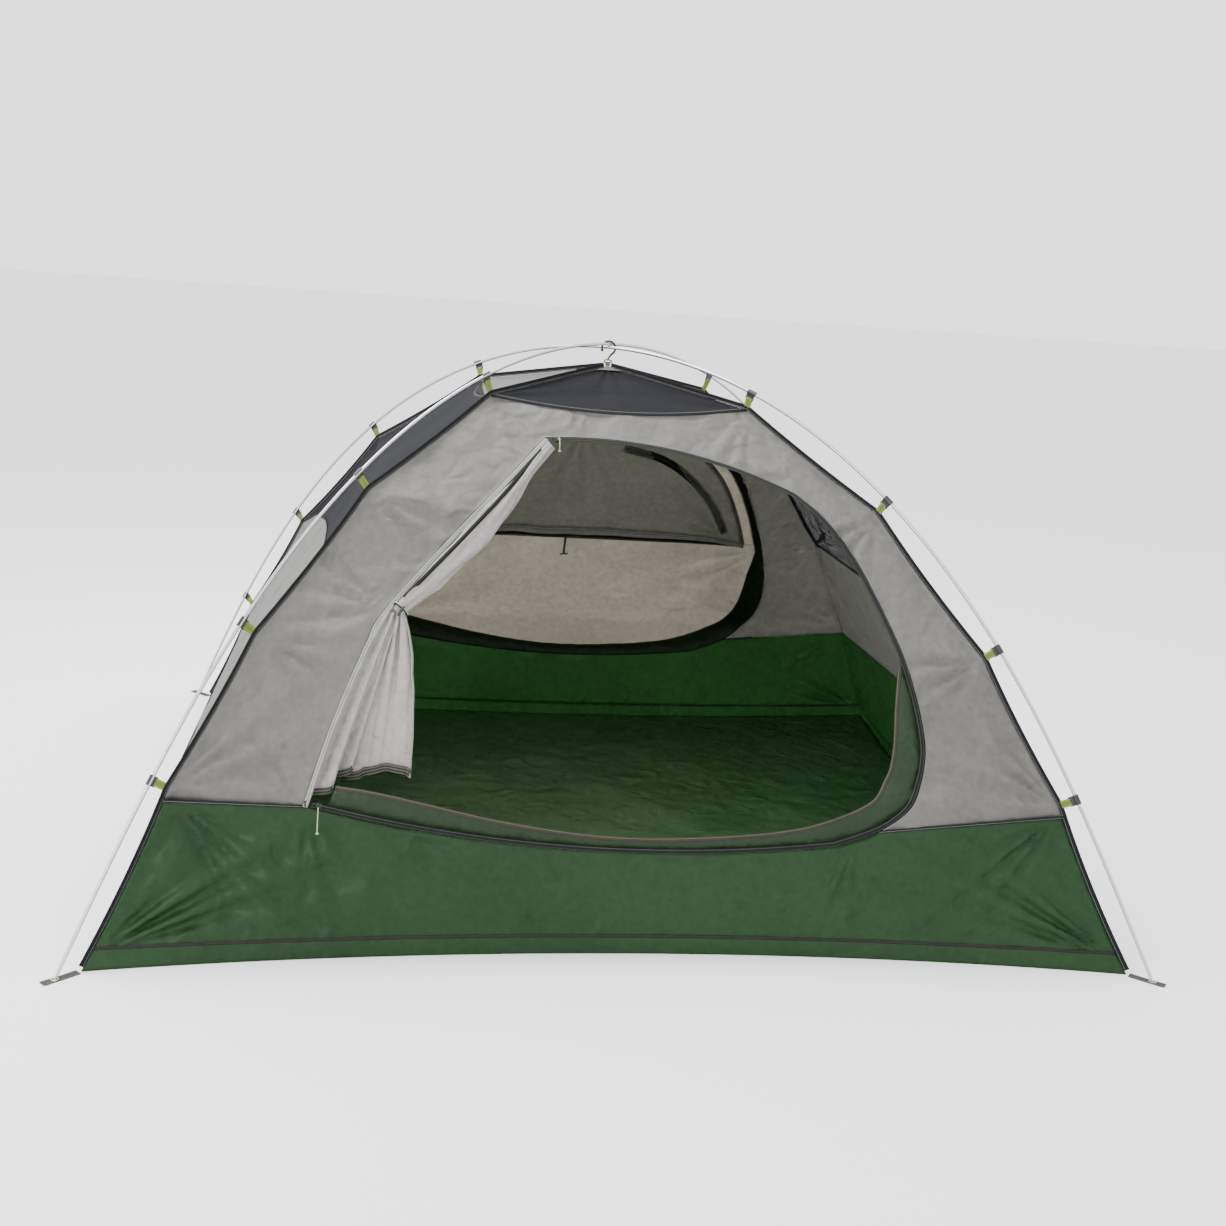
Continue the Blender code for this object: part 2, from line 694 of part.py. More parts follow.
def top_arc(count=14):
    """The round top of the door, a true arc on the upper facet of the cloth."""
    x = np.linspace(DOOR_TOP_X, DOOR_TOP_ARC_END_X, count)
    away = x - DOOR_TOP_ARC_CENTRE_X
    drop = DOOR_TOP_ARC_RADIUS - np.sqrt(DOOR_TOP_ARC_RADIUS**2 - away**2)
    return np.stack([x, WALL_CLIMB[4] + DOOR_TOP_ARC_RISE - drop], axis=1)


def bottom_arc(count=16):
    """The long shallow arc across the bathtub, from right to left, in one upright plane."""
    x = np.linspace(DOOR_BOTTOM_END_X, DOOR_BOTTOM_START_X, count)
    away = x - DOOR_BOTTOM_ARC_CENTRE_X
    rise = DOOR_BOTTOM_ARC_RADIUS - np.sqrt(DOOR_BOTTOM_ARC_RADIUS**2 - away**2)
    return np.stack([x, DOOR_BOTTOM_Z + rise], axis=1)


def door_curve(inset=0.0):
    """The zipped edge of the door as x and height, clockwise from its top to its bottom corner."""
    top, bottom = top_arc(), bottom_arc()
    steps = 4
    knots = np.vstack([top[-2:], on_cloth(SIDE_OUTLINE), bottom[:2]])
    side = smooth_path(knots, steps)[steps + 1:-steps - 1]
    return off_cloth(offset_path(np.vstack([top, side, bottom]), inset))


HINGE_HIGH, HINGE_LOW = door_curve()[[0, -1]]


def hinge_x(z):
    """The straight hinge edge of the rear door, seen from the front."""
    share = (z - HINGE_LOW[1]) / (HINGE_HIGH[1] - HINGE_LOW[1])
    return HINGE_LOW[0] + share * (HINGE_HIGH[0] - HINGE_LOW[0])


def hinge_crossing(near, far, gap):
    """Where the line through two points of a path meets a line beside the hinge edge."""
    near_away, far_away = (point[0] - hinge_x(point[1]) - gap for point in (near, far))
    return near + (near - far) * near_away / (far_away - near_away)


def right_of_hinge(path, gap):
    """The part of a path that is at least a gap to the right of the hinge edge, ending on it."""
    kept = path[path[:, 0] > hinge_x(path[:, 1]) + gap + LEAST_STEP]
    return np.vstack([hinge_crossing(kept[0], kept[1], gap), kept,
                      hinge_crossing(kept[-1], kept[-2], gap)])


def front_door_outline():
    """The front doorway: the zipped edge, then the hinge edge as the tied door pulls it."""
    edge = door_curve()
    seam = smooth_path(np.vstack([edge[-1:], HINGE_OUTLINE, edge[:1]]), 3)
    return np.vstack([edge, seam[1:-1]])


def door_depth(points):
    """Distance of points on the door's edge from the middle plane."""
    x, z = np.asarray(points).T
    return np.where(z < BATHTUB_HEIGHT + 2 * FABRIC, ZIP_PLANE_Y, front_surface(x, z))


def band(name, first, second, side, material, thickness, depth=0.0):
    """A strip of tape between two paths given as x and height."""
    rows = []
    for path in (first, second):
        away = door_depth(path) - depth
        rows.append(np.stack([path[:, 0], side * away, path[:, 1]], axis=1))
    return solidify(put(name, grid_mesh(name, rows), material), thickness)


# Floor, walls, mesh and roof panels

FRONT_CUT = put("front_door_cut", prism_mesh("front_door_cut", front_door_outline(),
                                             -DOOR_CUT_TO, -DOOR_CUT_FROM), collection=CUTTERS)
REAR_CUT = put("rear_door_cut", prism_mesh("rear_door_cut", door_curve(), DOOR_CUT_FROM,
                                           DOOR_CUT_TO), collection=CUTTERS)

floor = solidify(put("bathtub_floor", bathtub(), GREEN), FABRIC, -1.0)
combine(floor, FRONT_CUT, "DIFFERENCE")
combine(floor, REAR_CUT, "DIFFERENCE")
combine(sheet("front_wall", end_wall_rows(-1), GREY), FRONT_CUT, "DIFFERENCE")
combine(sheet("rear_wall", end_wall_rows(1), GREY), REAR_CUT, "DIFFERENCE")

for side_name, side in (("left", -1), ("right", 1)):
    flat = np.ones_like(SPREAD)
    lower_levels = [(BATHTUB_HEIGHT, (BATHTUB_HEIGHT + SEAM_GAP) * flat),
                    (SEAM_HEIGHTS[1], SEAM_HEIGHTS[1] * flat), (SEAM_HEIGHTS[2], arch(side))]
    lower = side_wall_rows(side, lower_levels)
    middle_bow = SIDE_BOW * (1 - SPREAD**2)
    lower[2][:, 0] -= side * middle_bow
    sheet(side_name + "_lower_panel", lower, GREY)
    hem = SEAM_HEIGHTS[4] - SEAM_GAP - HEM_SAG * (1 - SPREAD**2)
    upper_levels = [(SEAM_HEIGHTS[2], arch(side) + SEAM_GAP + FABRIC),
                    (SEAM_HEIGHTS[3], SEAM_HEIGHTS[3] * flat), (SEAM_HEIGHTS[4], hem)]
    upper = side_wall_rows(side, upper_levels)
    upper[0][:, 0] -= side * middle_bow
    upper[1][:, 0] -= side * middle_bow / 2
    sheet(side_name + "_mesh_wall", upper, MESH)
    roof = [np.stack([out, spread, lift], axis=1)
            for spread, out, lift in roof_rows(AXIS_X, AXIS_Y, side)]
    sheet(side_name + "_roof_panel", roof, GREY)

for side_name, side in (("front", -1), ("rear", 1)):
    roof = [np.stack([spread, out, lift], axis=1)
            for spread, out, lift in roof_rows(AXIS_Y, AXIS_X, side)]
    sheet(side_name + "_roof_mesh", roof, MESH)


# Corner tapes with their webbing tabs, and the clips

def tape_rows(corner):
    """The corner binding: a strip standing just outside the seam, in the diagonal plane."""
    outline = SEAM.copy()
    outline[-1] += (SEAM[4] - SEAM[5]) * TAPE_TOP_REACH / SEAM[4, 0]
    outline[0] += (SEAM[1] - SEAM[0]) * TAPE_FOOT_TRIM
    rows = []
    for distance in (TAPE_CLEARANCE, TAPE_CLEARANCE + TAPE_WIDTH):
        moved = offset_path(outline, distance)
        rows.append([diagonal_point(corner, reach, height) for reach, height in moved])
    return rows


def clip_profile():
    """The clip's outline across the pole: y is sideways and z outwards, with the bar at the origin."""
    centre = np.array([-CLIP_BAR_SHIFT, CLIP_BAR_DROP])
    inner = POLE_DIAMETER / 2 + CLIP_FIT
    outer = inner + CLIP_WALL
    turns = np.radians(np.linspace(CLIP_JAW_FROM, CLIP_JAW_TO, 9))
    ring = np.stack([np.cos(turns), np.sin(turns)], axis=1)
    tip_turn = turns[-1] + math.radians(CLIP_JAW_TIP)
    tip = centre + (inner + outer) / 2 * np.array([math.cos(tip_turn), math.sin(tip_turn)])
    bottom = np.radians(np.linspace(180, 360, 5))
    bar = BAR_RADIUS * np.stack([np.cos(bottom), np.sin(bottom)], axis=1)
    shank = np.array([[BAR_RADIUS, CLIP_BAR_DROP * CLIP_SHANK_LOW]])
    return np.vstack([bar, shank, centre + outer * ring, tip, centre + inner * ring[::-1],
                      [[-BAR_RADIUS, CLIP_BAR_DROP * CLIP_SHANK_HIGH]]])


SLEEVE_RADIUS = BAR_RADIUS + BAR_CLEARANCE + SLEEVE_WALL
CLIP_WINDOW_HIGH = SLEEVE_RADIUS + CLIP_WINDOW_OVER_SLEEVE
WINDOW_CUT = box_mesh("clip_window", (TAB_WIDTH + 2 * CLIP_WINDOW_SIDE, THROUGH,
                                      CLIP_WINDOW_HIGH - CLIP_WINDOW_LOW),
                      (0, 0, (CLIP_WINDOW_HIGH + CLIP_WINDOW_LOW) / 2))
CLIP_MESH = prism_mesh("snap_clip", clip_profile(), -CLIP_WIDTH / 2, CLIP_WIDTH / 2, axes=(1, 2, 0))
CLIP_MESH.materials.append(BLACK_PLASTIC)
SLEEVE_MESH = cylinder_mesh("tab_sleeve", SLEEVE_RADIUS, TAB_WIDTH)
SLEEVE_BORE = cylinder_mesh("sleeve_bore", BAR_RADIUS + BAR_CLEARANCE, CLIP_WIDTH)

for corner_name, corner in CORNERS.items():
    tape = sheet("corner_tape_" + corner_name, tape_rows(corner), BINDING, TAPE_THICKNESS)
    bores = []
    for number, distance in enumerate(CLIP_DISTANCES, start=1):
        label = corner_name + "_" + str(number)
        centre, uphill, outward = pole_frame(POLE_OF[corner_name], corner, distance)
        sideways = outward.cross(uphill)
        bar = centre - outward * CLIP_BAR_DROP + sideways * CLIP_BAR_SHIFT
        placed = basis(uphill, outward, bar)
        clip = bpy.data.objects.new("clip_" + label, CLIP_MESH)
        TENT.objects.link(clip)
        clip.matrix_world = placed
        window = put("clip_window_" + label, WINDOW_CUT, collection=CUTTERS)
        window.matrix_world = placed
        combine(clip, window, "DIFFERENCE")
        root = diagonal_point(corner, *SEAM[number]) + outward * (TAPE_CLEARANCE + TAB_SEWN_IN)
        along = bar - root
        slope = basis(uphill, along, (root + bar) / 2)
        tab_size = (TAB_WIDTH, TAB_THICKNESS, along.length)
        tab = put("tab_" + label, box_mesh("tab", tab_size), collection=CUTTERS)
        tab.matrix_world = slope
        sleeve = put("sleeve_" + label, SLEEVE_MESH, collection=CUTTERS)
        sleeve.matrix_world = placed
        bore = put("bore_" + label, SLEEVE_BORE, collection=CUTTERS)
        bore.matrix_world = placed
        combine(tape, tab, "UNION")
        combine(tape, sleeve, "UNION")
        bores.append(bore)
    for bore in bores:
        combine(tape, bore, "DIFFERENCE")


# Feet: strap, grommet

def grommet_mesh():
    """A turned eyelet: a short tube with a flange on top, as a profile swept round Z."""
    low = GROMMET_GAP
    top = STRAP_THICKNESS + GROMMET_GAP + GROMMET_FLANGE
    flange_low = STRAP_THICKNESS + GROMMET_GAP
    inner = GROMMET_BORE_RADIUS
    outer = inner + GROMMET_WALL
    profile = [(inner, top), (GROMMET_FLANGE_RADIUS, top), (GROMMET_FLANGE_RADIUS, flange_low),
               (outer, flange_low), (outer, low), (inner, low)]
    built = bmesh.new()
    turns = [2 * math.pi * j / GROMMET_SIDES for j in range(GROMMET_SIDES)]
    verts = [[built.verts.new((r * math.cos(turn), r * math.sin(turn), z)) for turn in turns]
             for r, z in profile]
    for i in range(len(profile)):
        n = (i + 1) % len(profile)
        for j in range(GROMMET_SIDES):
            k = (j + 1) % GROMMET_SIDES
            built.faces.new((verts[i][j], verts[i][k], verts[n][k], verts[n][j]))
    return bmesh_to_mesh("grommet", built)


GROMMET_MESH = grommet_mesh()
GROMMET_MESH.materials.append(BRASS)

for corner_name, corner in CORNERS.items():
    foot = diagonal_point(corner, HALF_DIAGONAL, 0)
    outward = diagonal_point(corner, 1, 0)
    start = HALF_DIAGONAL - FLOOR_INSET + STRAP_FROM_FLOOR
    end = HALF_DIAGONAL + STRAP_TAIL
    middle = diagonal_point(corner, (start + end) / 2, STRAP_THICKNESS / 2)
    strap_size = (end - start, STRAP_WIDTH, STRAP_THICKNESS)
    strap = put("foot_strap_" + corner_name, box_mesh("foot_strap", strap_size), DARK_WEBBING)
    strap.matrix_world = basis(outward, (0, 0, 1), middle)
    hole_radius = GROMMET_BORE_RADIUS + GROMMET_WALL + GROMMET_GAP
    hole = put("grommet_hole_" + corner_name, cylinder_mesh("grommet_hole", hole_radius, THROUGH),
               collection=CUTTERS)
    hole.matrix_world = basis((0, 0, 1), outward, foot)
    combine(strap, hole, "DIFFERENCE")
    grommet = bpy.data.objects.new("grommet_" + corner_name, GROMMET_MESH)
    TENT.objects.link(grommet)
    grommet.location = foot


# Peak: hook over the crossing, and its webbing

hook_top = POLE_PEAK + CROSSING_OFFSET + POLE_DIAMETER / 2 + HOOK_REST_GAP
hook_centre_z = hook_top - HOOK_INNER_RADIUS
hook_bar_z = PEAK_HEIGHT + HOOK_BAR_ABOVE_PEAK
hook_path = []
for turn in np.radians(np.linspace(HOOK_FROM, HOOK_TO, 16)):
    reach = HOOK_INNER_RADIUS + HOOK_ROD / 2
    hook_path.append((reach * math.cos(turn), 0, hook_centre_z + reach * math.sin(turn)))
ring_top = hook_bar_z + HOOK_RING_HEIGHT
hook_path.append((HOOK_NECK, 0, ring_top + 2 * HOOK_NECK))
hook_path.append((0, 0, ring_top - HOOK_RING_WALL / 2))
hook = rod("apex_hook", hook_path, HOOK_ROD, BLACK_PLASTIC, 3)
ring_low = hook_bar_z - HOOK_BAR_RADIUS
ring_width = HOOK_BAR_LENGTH + 2 * HOOK_RING_WALL
ring_size = (ring_width, 2 * HOOK_BAR_RADIUS, ring_top - ring_low)
ring = put("hook_ring", box_mesh("hook_ring", ring_size, (0, 0, (ring_top + ring_low) / 2)),
           collection=CUTTERS)
ring_hole_top = ring_top - HOOK_RING_WALL
ring_hole_low = hook_bar_z + HOOK_BAR_RADIUS * HOOK_BAR_SHARE
ring_hole_size = (HOOK_BAR_LENGTH, THROUGH, ring_hole_top - ring_hole_low)
ring_hole = put("hook_ring_hole", box_mesh("hook_ring_hole", ring_hole_size,
                                           (0, 0, (ring_hole_top + ring_hole_low) / 2)),
                collection=CUTTERS)
combine(hook, ring, "UNION")
combine(hook, ring_hole, "DIFFERENCE")

bar_hole_radius = math.hypot(HOOK_BAR_RADIUS, HOOK_BAR_RADIUS) + BAR_CLEARANCE
peak_tab = put("apex_webbing",
               cylinder_mesh("apex_webbing", bar_hole_radius + SLEEVE_WALL, PEAK_TAB_WIDTH),
               LIME_WEBBING)
peak_tab.location = (0, 0, hook_bar_z)
stem_low = PEAK_HEIGHT + PEAK_TAB_FOOT
stem_size = (PEAK_TAB_WIDTH, TAB_THICKNESS, hook_bar_z - stem_low)
stem = put("apex_stem", box_mesh("apex_stem", stem_size, (0, 0, (hook_bar_z + stem_low) / 2)),
           collection=CUTTERS)
bar_hole = put("apex_bar_hole", cylinder_mesh("apex_bar_hole", bar_hole_radius, HOOK_BAR_LENGTH),
               collection=CUTTERS)
bar_hole.location = peak_tab.location
combine(peak_tab, stem, "UNION")
combine(peak_tab, bar_hole, "DIFFERENCE")


# Front door: zip tape, storm flap, sliders with pull cords, and the rolled door with its tie

def flap_paths():
    """Outer and inner edges of the storm flap, from its upper tip to its left tip."""
    inner = resample(smooth_path(drawn_path(FLAP_INNER), 4), FLAP_COLUMNS + 1)
    curve = door_curve(ZIP_GAP)
    first, last = (np.argmin(np.linalg.norm(curve - end, axis=1)) for end in inner[[0, -1]])
    return resample(curve[first:last + 1], FLAP_COLUMNS + 1), inner


for side_name, side in (("front", -1), ("rear", 1)):
    outer_path, inner_path = flap_paths()
    band(side_name + "_storm_flap", outer_path, inner_path, side, GREEN, FABRIC, FLAP_DEPTH)


def trimmed(path, length):
    """A path with a length cut off both ends."""
    count = len(path)
    fine = resample(path, 4 * count)
    step = np.linalg.norm(fine[1] - fine[0])
    skip = int(np.ceil(length / step))
    return resample(fine[skip:-skip], count)


def slider_mesh():
    """A slider clasping the free edge of a tape: X runs along the tape and Y towards its free edge."""
    half = ZIP_THICKNESS / 2 + SLIDER_GAP
    top = half + SLIDER_PLATE
    free = ZIP_HALF_WIDTH / 2 + SLIDER_GAP
    open_end = free - SLIDER_OVERLAP
    closed_end = free + SLIDER_PLATE
    outline = [(open_end, half), (free, half), (free, -half), (open_end, -half),
               (open_end, -top), (closed_end, -top), (closed_end, top), (open_end, top)]
    return prism_mesh("zip_slider", outline, -SLIDER_LENGTH / 2, SLIDER_LENGTH / 2, axes=(1, 2, 0))


zip_paths = [trimmed(door_curve(inset), ZIP_END) for inset in (ZIP_GAP, ZIP_GAP + ZIP_HALF_WIDTH)]
band("front_door_zip", *zip_paths, -1, ZIP_TAPE, ZIP_THICKNESS)
SLIDER_MESH = slider_mesh()
SLIDER_MESH.materials.append(SLIDER_METAL)
slider_top_z = ZIP_THICKNESS / 2 + SLIDER_GAP + SLIDER_PLATE
TOP_SLIDER_X = DOOR_TOP_X + SLIDER_FROM_DOOR_END
LOWER_SLIDER_X = DOOR_BOTTOM_START_X + SLIDER_FROM_DOOR_END
TAPE_MIDDLE = ZIP_GAP + ZIP_HALF_WIDTH / 2


def place_slider(name, point, towards_centre, outward):
    """A slider on its tape, with its closed side towards the centre of the zip's arc."""
    slider = bpy.data.objects.new(name, SLIDER_MESH)
    TENT.objects.link(slider)
    along = Vector(towards_centre).cross(Vector(outward)).normalized()
    slider.matrix_world = basis(along, outward, point)
    return slider


facet_climb = Vector((0, -FACET_UP[0], FACET_UP[1]))
top_arc_centre = (Vector((DOOR_TOP_ARC_CENTRE_X, -FACET_LOW[0], FACET_LOW[1]))
                  + facet_climb * (DOOR_TOP_ARC_RISE - DOOR_TOP_ARC_RADIUS))
top_turn = math.asin((TOP_SLIDER_X - DOOR_TOP_ARC_CENTRE_X) / DOOR_TOP_ARC_RADIUS)
top_out = Vector((math.sin(top_turn), 0, 0)) + facet_climb * math.cos(top_turn)
top_slider_at = top_arc_centre + top_out * (DOOR_TOP_ARC_RADIUS - TAPE_MIDDLE)
facet_out = Vector((0, -FACET_UP[1], -FACET_UP[0]))
place_slider("front_zip_slider_top", top_slider_at, -top_out, facet_out)

bottom_arc_centre = Vector((DOOR_BOTTOM_ARC_CENTRE_X, -ZIP_PLANE_Y, DOOR_BOTTOM_Z + DOOR_BOTTOM_ARC_RADIUS))
low_turn = math.asin((LOWER_SLIDER_X - DOOR_BOTTOM_ARC_CENTRE_X) / DOOR_BOTTOM_ARC_RADIUS)
low_out = Vector((math.sin(low_turn), 0, -math.cos(low_turn)))
low_slider_at = bottom_arc_centre + low_out * (DOOR_BOTTOM_ARC_RADIUS - TAPE_MIDDLE)
place_slider("front_zip_slider_lower", low_slider_at, -low_out, (0, -1, 0))


def pull_cord(name, slider_at, outward, down_slope):
    """A short knotted cord: out of the slider's face, down the slope, then hanging."""
    at = Vector(slider_at) + Vector(outward) * (slider_top_z + PULL_GAP + PULL_DIAMETER / 2)
    points = [at.copy()]
    for i in range(PULL_STEPS):
        t = (i + 0.5) / PULL_STEPS
        hang = min(max((t - PULL_BEND_FROM) / PULL_BEND, 0), 1)
        ahead = Vector(down_slope) * (1 - hang) + Vector((0, 0, -1)) * hang
        ahead += Vector(outward) * PULL_SWING / PULL_LENGTH * 2 * (1 - t)
        at = at + ahead.normalized() * PULL_LENGTH / PULL_STEPS
        points.append(at.copy())
    return rod(name, points, PULL_DIAMETER, PULL_CORD)


pull_cord("front_zip_pull_top", top_slider_at, facet_out, -facet_climb)
pull_cord("front_zip_pull_lower", low_slider_at, (0, -1, 0), (0, 0, -1))


def rolled_door():
    """The gathered door: a roll down the hinge edge to the tie, then a flat hanging tail."""
    hinge = smooth_path(np.vstack([[door_curve()[0]], HINGE_OUTLINE[::-1]]), 5)
    hinge = hinge[hinge[:, 1] > HINGE_OUTLINE[2][1]]
    path = resample(hinge, len(ROLL_HALF_WIDTHS) + 1)[1:]
    ahead = np.gradient(path, axis=0)
    ahead /= np.linalg.norm(ahead, axis=1)[:, None]
    inward = np.stack([-ahead[:, 1], ahead[:, 0]], axis=1)
    rings = []
    centres = []
    turns = np.linspace(0, 2 * math.pi, ROLL_SIDES, endpoint=False)
    out = np.array([0, -1, 0])
    for place, normal, half in zip(path, inward, ROLL_HALF_WIDTHS):
        centre = place + normal * (half + ROLL_GAP)
        middle = np.array([centre[0], -float(front_surface(*centre)), centre[1]])
        centres.append(middle)
        across = np.array([normal[0], 0, normal[1]])
        rings.append([middle + half * (math.cos(t) * across + ROLL_FLATTENING * math.sin(t) * out)
                      for t in turns])
    tie = centres[-1]
    bottom = np.array(TAIL_END)
    for share, half in zip(TAIL_SHARES, TAIL_HALF_WIDTHS):
        middle = tie + (bottom - tie) * share
        rings.append([middle + half * math.cos(t) * np.array([1.0, 0, 0])
                      + TAIL_HALF_THICKNESS * math.sin(t) * out for t in turns])
    return rings, tie, centres[-2] - tie


def curtain_rows(tie):
    """The loose stretch of the door between the lower hinge edge and the hanging tail."""
    knots = np.vstack([[HINGE_OUTLINE[2]], HINGE_OUTLINE[1::-1], [door_curve()[-1]]])
    hinge = resample(offset_path(smooth_path(knots, 4), -CURTAIN_GAP), CURTAIN_ROWS)[1:-2]
    sewn = np.stack([hinge[:, 0], -front_surface(hinge[:, 0], hinge[:, 1]), hinge[:, 1]], axis=1)
    low = np.array([CURTAIN_BOTTOM[0], TAIL_END[1], drawn(CURTAIN_BOTTOM[1])])
    high = tie + (np.array(TAIL_END) - tie) * TAIL_SHARES[0]
    free = np.linspace(high, low, len(hinge))
    return [sewn, free]


door_rings, tie_point, up_the_roll = rolled_door()
door = put("front_door", loft_mesh("front_door", door_rings), GREY)
door.data.shade_smooth()
curtain = solidify(put("front_door_curtain", grid_mesh("front_door_curtain", curtain_rows(tie_point)),
                       collection=CUTTERS), FABRIC)
combine(door, curtain, "UNION")


def tie_mesh():
    """A band round the roll, as a flat loop: local X across the roll, Y outwards, Z along it."""
    half = ROLL_HALF_WIDTHS[-1]
    near, far = TIE_GAP, TIE_GAP + TIE_WALL
    built = bmesh.new()
    loops = []
    for grow, lift in ((near, -1), (near, 1), (far, 1), (far, -1)):
        loop = []
        for j in range(TIE_SIDES):
            turn = 2 * math.pi * j / TIE_SIDES
            loop.append(built.verts.new(((half + grow) * math.cos(turn),
                                         (half * ROLL_FLATTENING + grow) * math.sin(turn),
                                         lift * TIE_WIDTH / 2)))
        loops.append(loop)
    for i in range(4):
        for j in range(TIE_SIDES):
            k = (j + 1) % TIE_SIDES
            n = (i + 1) % 4
            built.faces.new((loops[i][j], loops[i][k], loops[n][k], loops[n][j]))
    return bmesh_to_mesh("front_door_tie", built)


roll_direction = Vector(up_the_roll).normalized()
tie_at = Vector(tie_point) + roll_direction * TIE_UP_THE_ROLL
tie_frame = basis(roll_direction.cross((0, 1, 0)), roll_direction, tie_at)
tie_band = put("front_door_tie", tie_mesh(), LIME_WEBBING)
tie_band.matrix_world = tie_frame
band_out = ROLL_HALF_WIDTHS[-1] * ROLL_FLATTENING + TIE_GAP + TIE_WALL
toggle_out = band_out + TIE_TOGGLE_DIAMETER * TIE_TOGGLE_SEAT
tie_toggle = put("tie_toggle",
                 cylinder_mesh("tie_toggle", TIE_TOGGLE_DIAMETER / 2, TIE_TOGGLE_LENGTH),
                 collection=CUTTERS)
facing = 1 if tie_frame.col[1].y < 0 else -1
tie_toggle.matrix_world = tie_frame @ Matrix.Translation((0, facing * toggle_out, 0))
combine(tie_band, tie_toggle, "UNION")


# Rear door: closed panel with a mesh window, its zips, and the hanging toggle

def rear_surface_rows():
    """A stretch of the rear wall that holds the whole door."""
    widest = max(x for x, _ in DOOR_SIDE)
    x = np.linspace(DOOR_BOTTOM_START_X - REAR_SHEET_SPARE, widest + REAR_SHEET_SPARE, 7)
    levels = [DOOR_BOTTOM_Z - REAR_SHEET_SPARE, BATHTUB_HEIGHT, *SEAM_HEIGHTS[1:4]]
    levels.append(SEAM_HEIGHTS[4] - REAR_SHEET_SPARE)
    rows = []
    for level in levels:
        z = np.full_like(x, level)
        y = np.full_like(x, ZIP_PLANE_Y) if level < BATHTUB_HEIGHT else front_surface(x, z)
        rows.append(np.stack([x, y, z], axis=1))
    return rows


def window_outline(inset=0.0):
    """The window: the door's upper part inside an even margin, above a level sill."""
    margin = WINDOW_MARGIN + inset
    edge = door_curve(ZIP_GAP + REAR_ZIP_WIDTH + REAR_DOOR_GAP + margin)
    sill = SILL_HEIGHT + inset
    upper = right_of_hinge(edge, margin)
    upper = upper[upper[:, 1] > sill + LEAST_STEP]
    return np.vstack([upper, [(upper[-1, 0], sill), (hinge_x(sill) + margin, sill)]])


def rear_prism(name, outline):
    """A cutter through the rear wall on an outline of x and height."""
    return put(name, prism_mesh(name, outline, DOOR_CUT_FROM, DOOR_CUT_TO), collection=CUTTERS)


rear_door_edge = door_curve(ZIP_GAP + REAR_ZIP_WIDTH + REAR_DOOR_GAP)
rear_door = sheet("rear_door", rear_surface_rows(), GREY)
rear_door_edge = right_of_hinge(rear_door_edge, REAR_DOOR_GAP)
combine(rear_door, rear_prism("rear_door_edge", rear_door_edge), "INTERSECT")
combine(rear_door, rear_prism("window_opening", window_outline()), "DIFFERENCE")
window = sheet("rear_window_mesh", rear_surface_rows(), MESH, WINDOW_MESH)
combine(window, rear_prism("window_edge", window_outline(WINDOW_GAP)), "INTERSECT")
rear_zip = [trimmed(door_curve(inset), REAR_ZIP_END) for inset in (ZIP_GAP, ZIP_GAP + REAR_ZIP_WIDTH)]
band("rear_door_zip", *rear_zip, 1, ZIP_TAPE, ZIP_THICKNESS)
window_zip = smooth_path(drawn_path(WINDOW_ZIP), 4)
band("rear_window_zip", window_zip, offset_path(window_zip, WINDOW_ZIP_WIDTH), 1, ZIP_TAPE,
     ZIP_THICKNESS, WINDOW_ZIP_DEPTH)

toggle_y = float(front_surface(TOGGLE_X, SILL_HEIGHT)) - TOGGLE_CLEARANCE
toggle_top = (TOGGLE_X, toggle_y, SILL_HEIGHT)
toggle_size = (TOGGLE_STRAP_WIDTH, TOGGLE_STRAP_THICKNESS, TOGGLE_DROP)
toggle = put("rear_window_toggle", box_mesh("toggle_strap", toggle_size, (0, 0, -TOGGLE_DROP / 2)),
             LIME_WEBBING)
toggle.location = toggle_top
toggle_bar = put("toggle_bar", cylinder_mesh("toggle_bar", TOGGLE_DIAMETER / 2, TOGGLE_LENGTH),
                 collection=CUTTERS)
toggle_bar.location = Vector(toggle_top) - Vector((0, 0, TOGGLE_DROP))
combine(toggle, toggle_bar, "UNION")
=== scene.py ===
"""A freestanding dome tent on two crossed poles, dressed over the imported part.

Metres, +Z up. The front door faces -Y and the origin is on the ground under the peak.
"""

import bmesh
import bpy
import numpy as np
from mathutils import Matrix, Vector


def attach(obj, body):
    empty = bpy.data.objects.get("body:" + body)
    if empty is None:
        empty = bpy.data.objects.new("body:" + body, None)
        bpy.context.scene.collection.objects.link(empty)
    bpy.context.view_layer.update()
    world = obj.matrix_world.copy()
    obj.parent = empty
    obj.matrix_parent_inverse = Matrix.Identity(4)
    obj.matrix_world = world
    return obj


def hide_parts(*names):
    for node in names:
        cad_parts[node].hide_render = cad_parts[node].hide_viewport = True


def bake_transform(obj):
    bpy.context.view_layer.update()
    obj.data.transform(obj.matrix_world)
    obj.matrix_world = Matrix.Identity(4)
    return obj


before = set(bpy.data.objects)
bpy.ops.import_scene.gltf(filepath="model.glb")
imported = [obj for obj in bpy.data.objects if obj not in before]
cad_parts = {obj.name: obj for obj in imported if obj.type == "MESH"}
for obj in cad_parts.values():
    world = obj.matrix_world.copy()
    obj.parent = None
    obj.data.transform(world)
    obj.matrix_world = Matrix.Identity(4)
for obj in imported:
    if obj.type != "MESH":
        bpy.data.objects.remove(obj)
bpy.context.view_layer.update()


# Studio: a long-lens camera at a standing person's height, a pale floor, and soft daylight
# from a wide panel overhead with a weaker one in front.

CAMERA_AT = (-0.5644, -4.2610, 1.5530)
CAMERA_TURN = (-8.399, -12.365, 3.963)  # degrees left, down and clockwise
LENS = 43.92


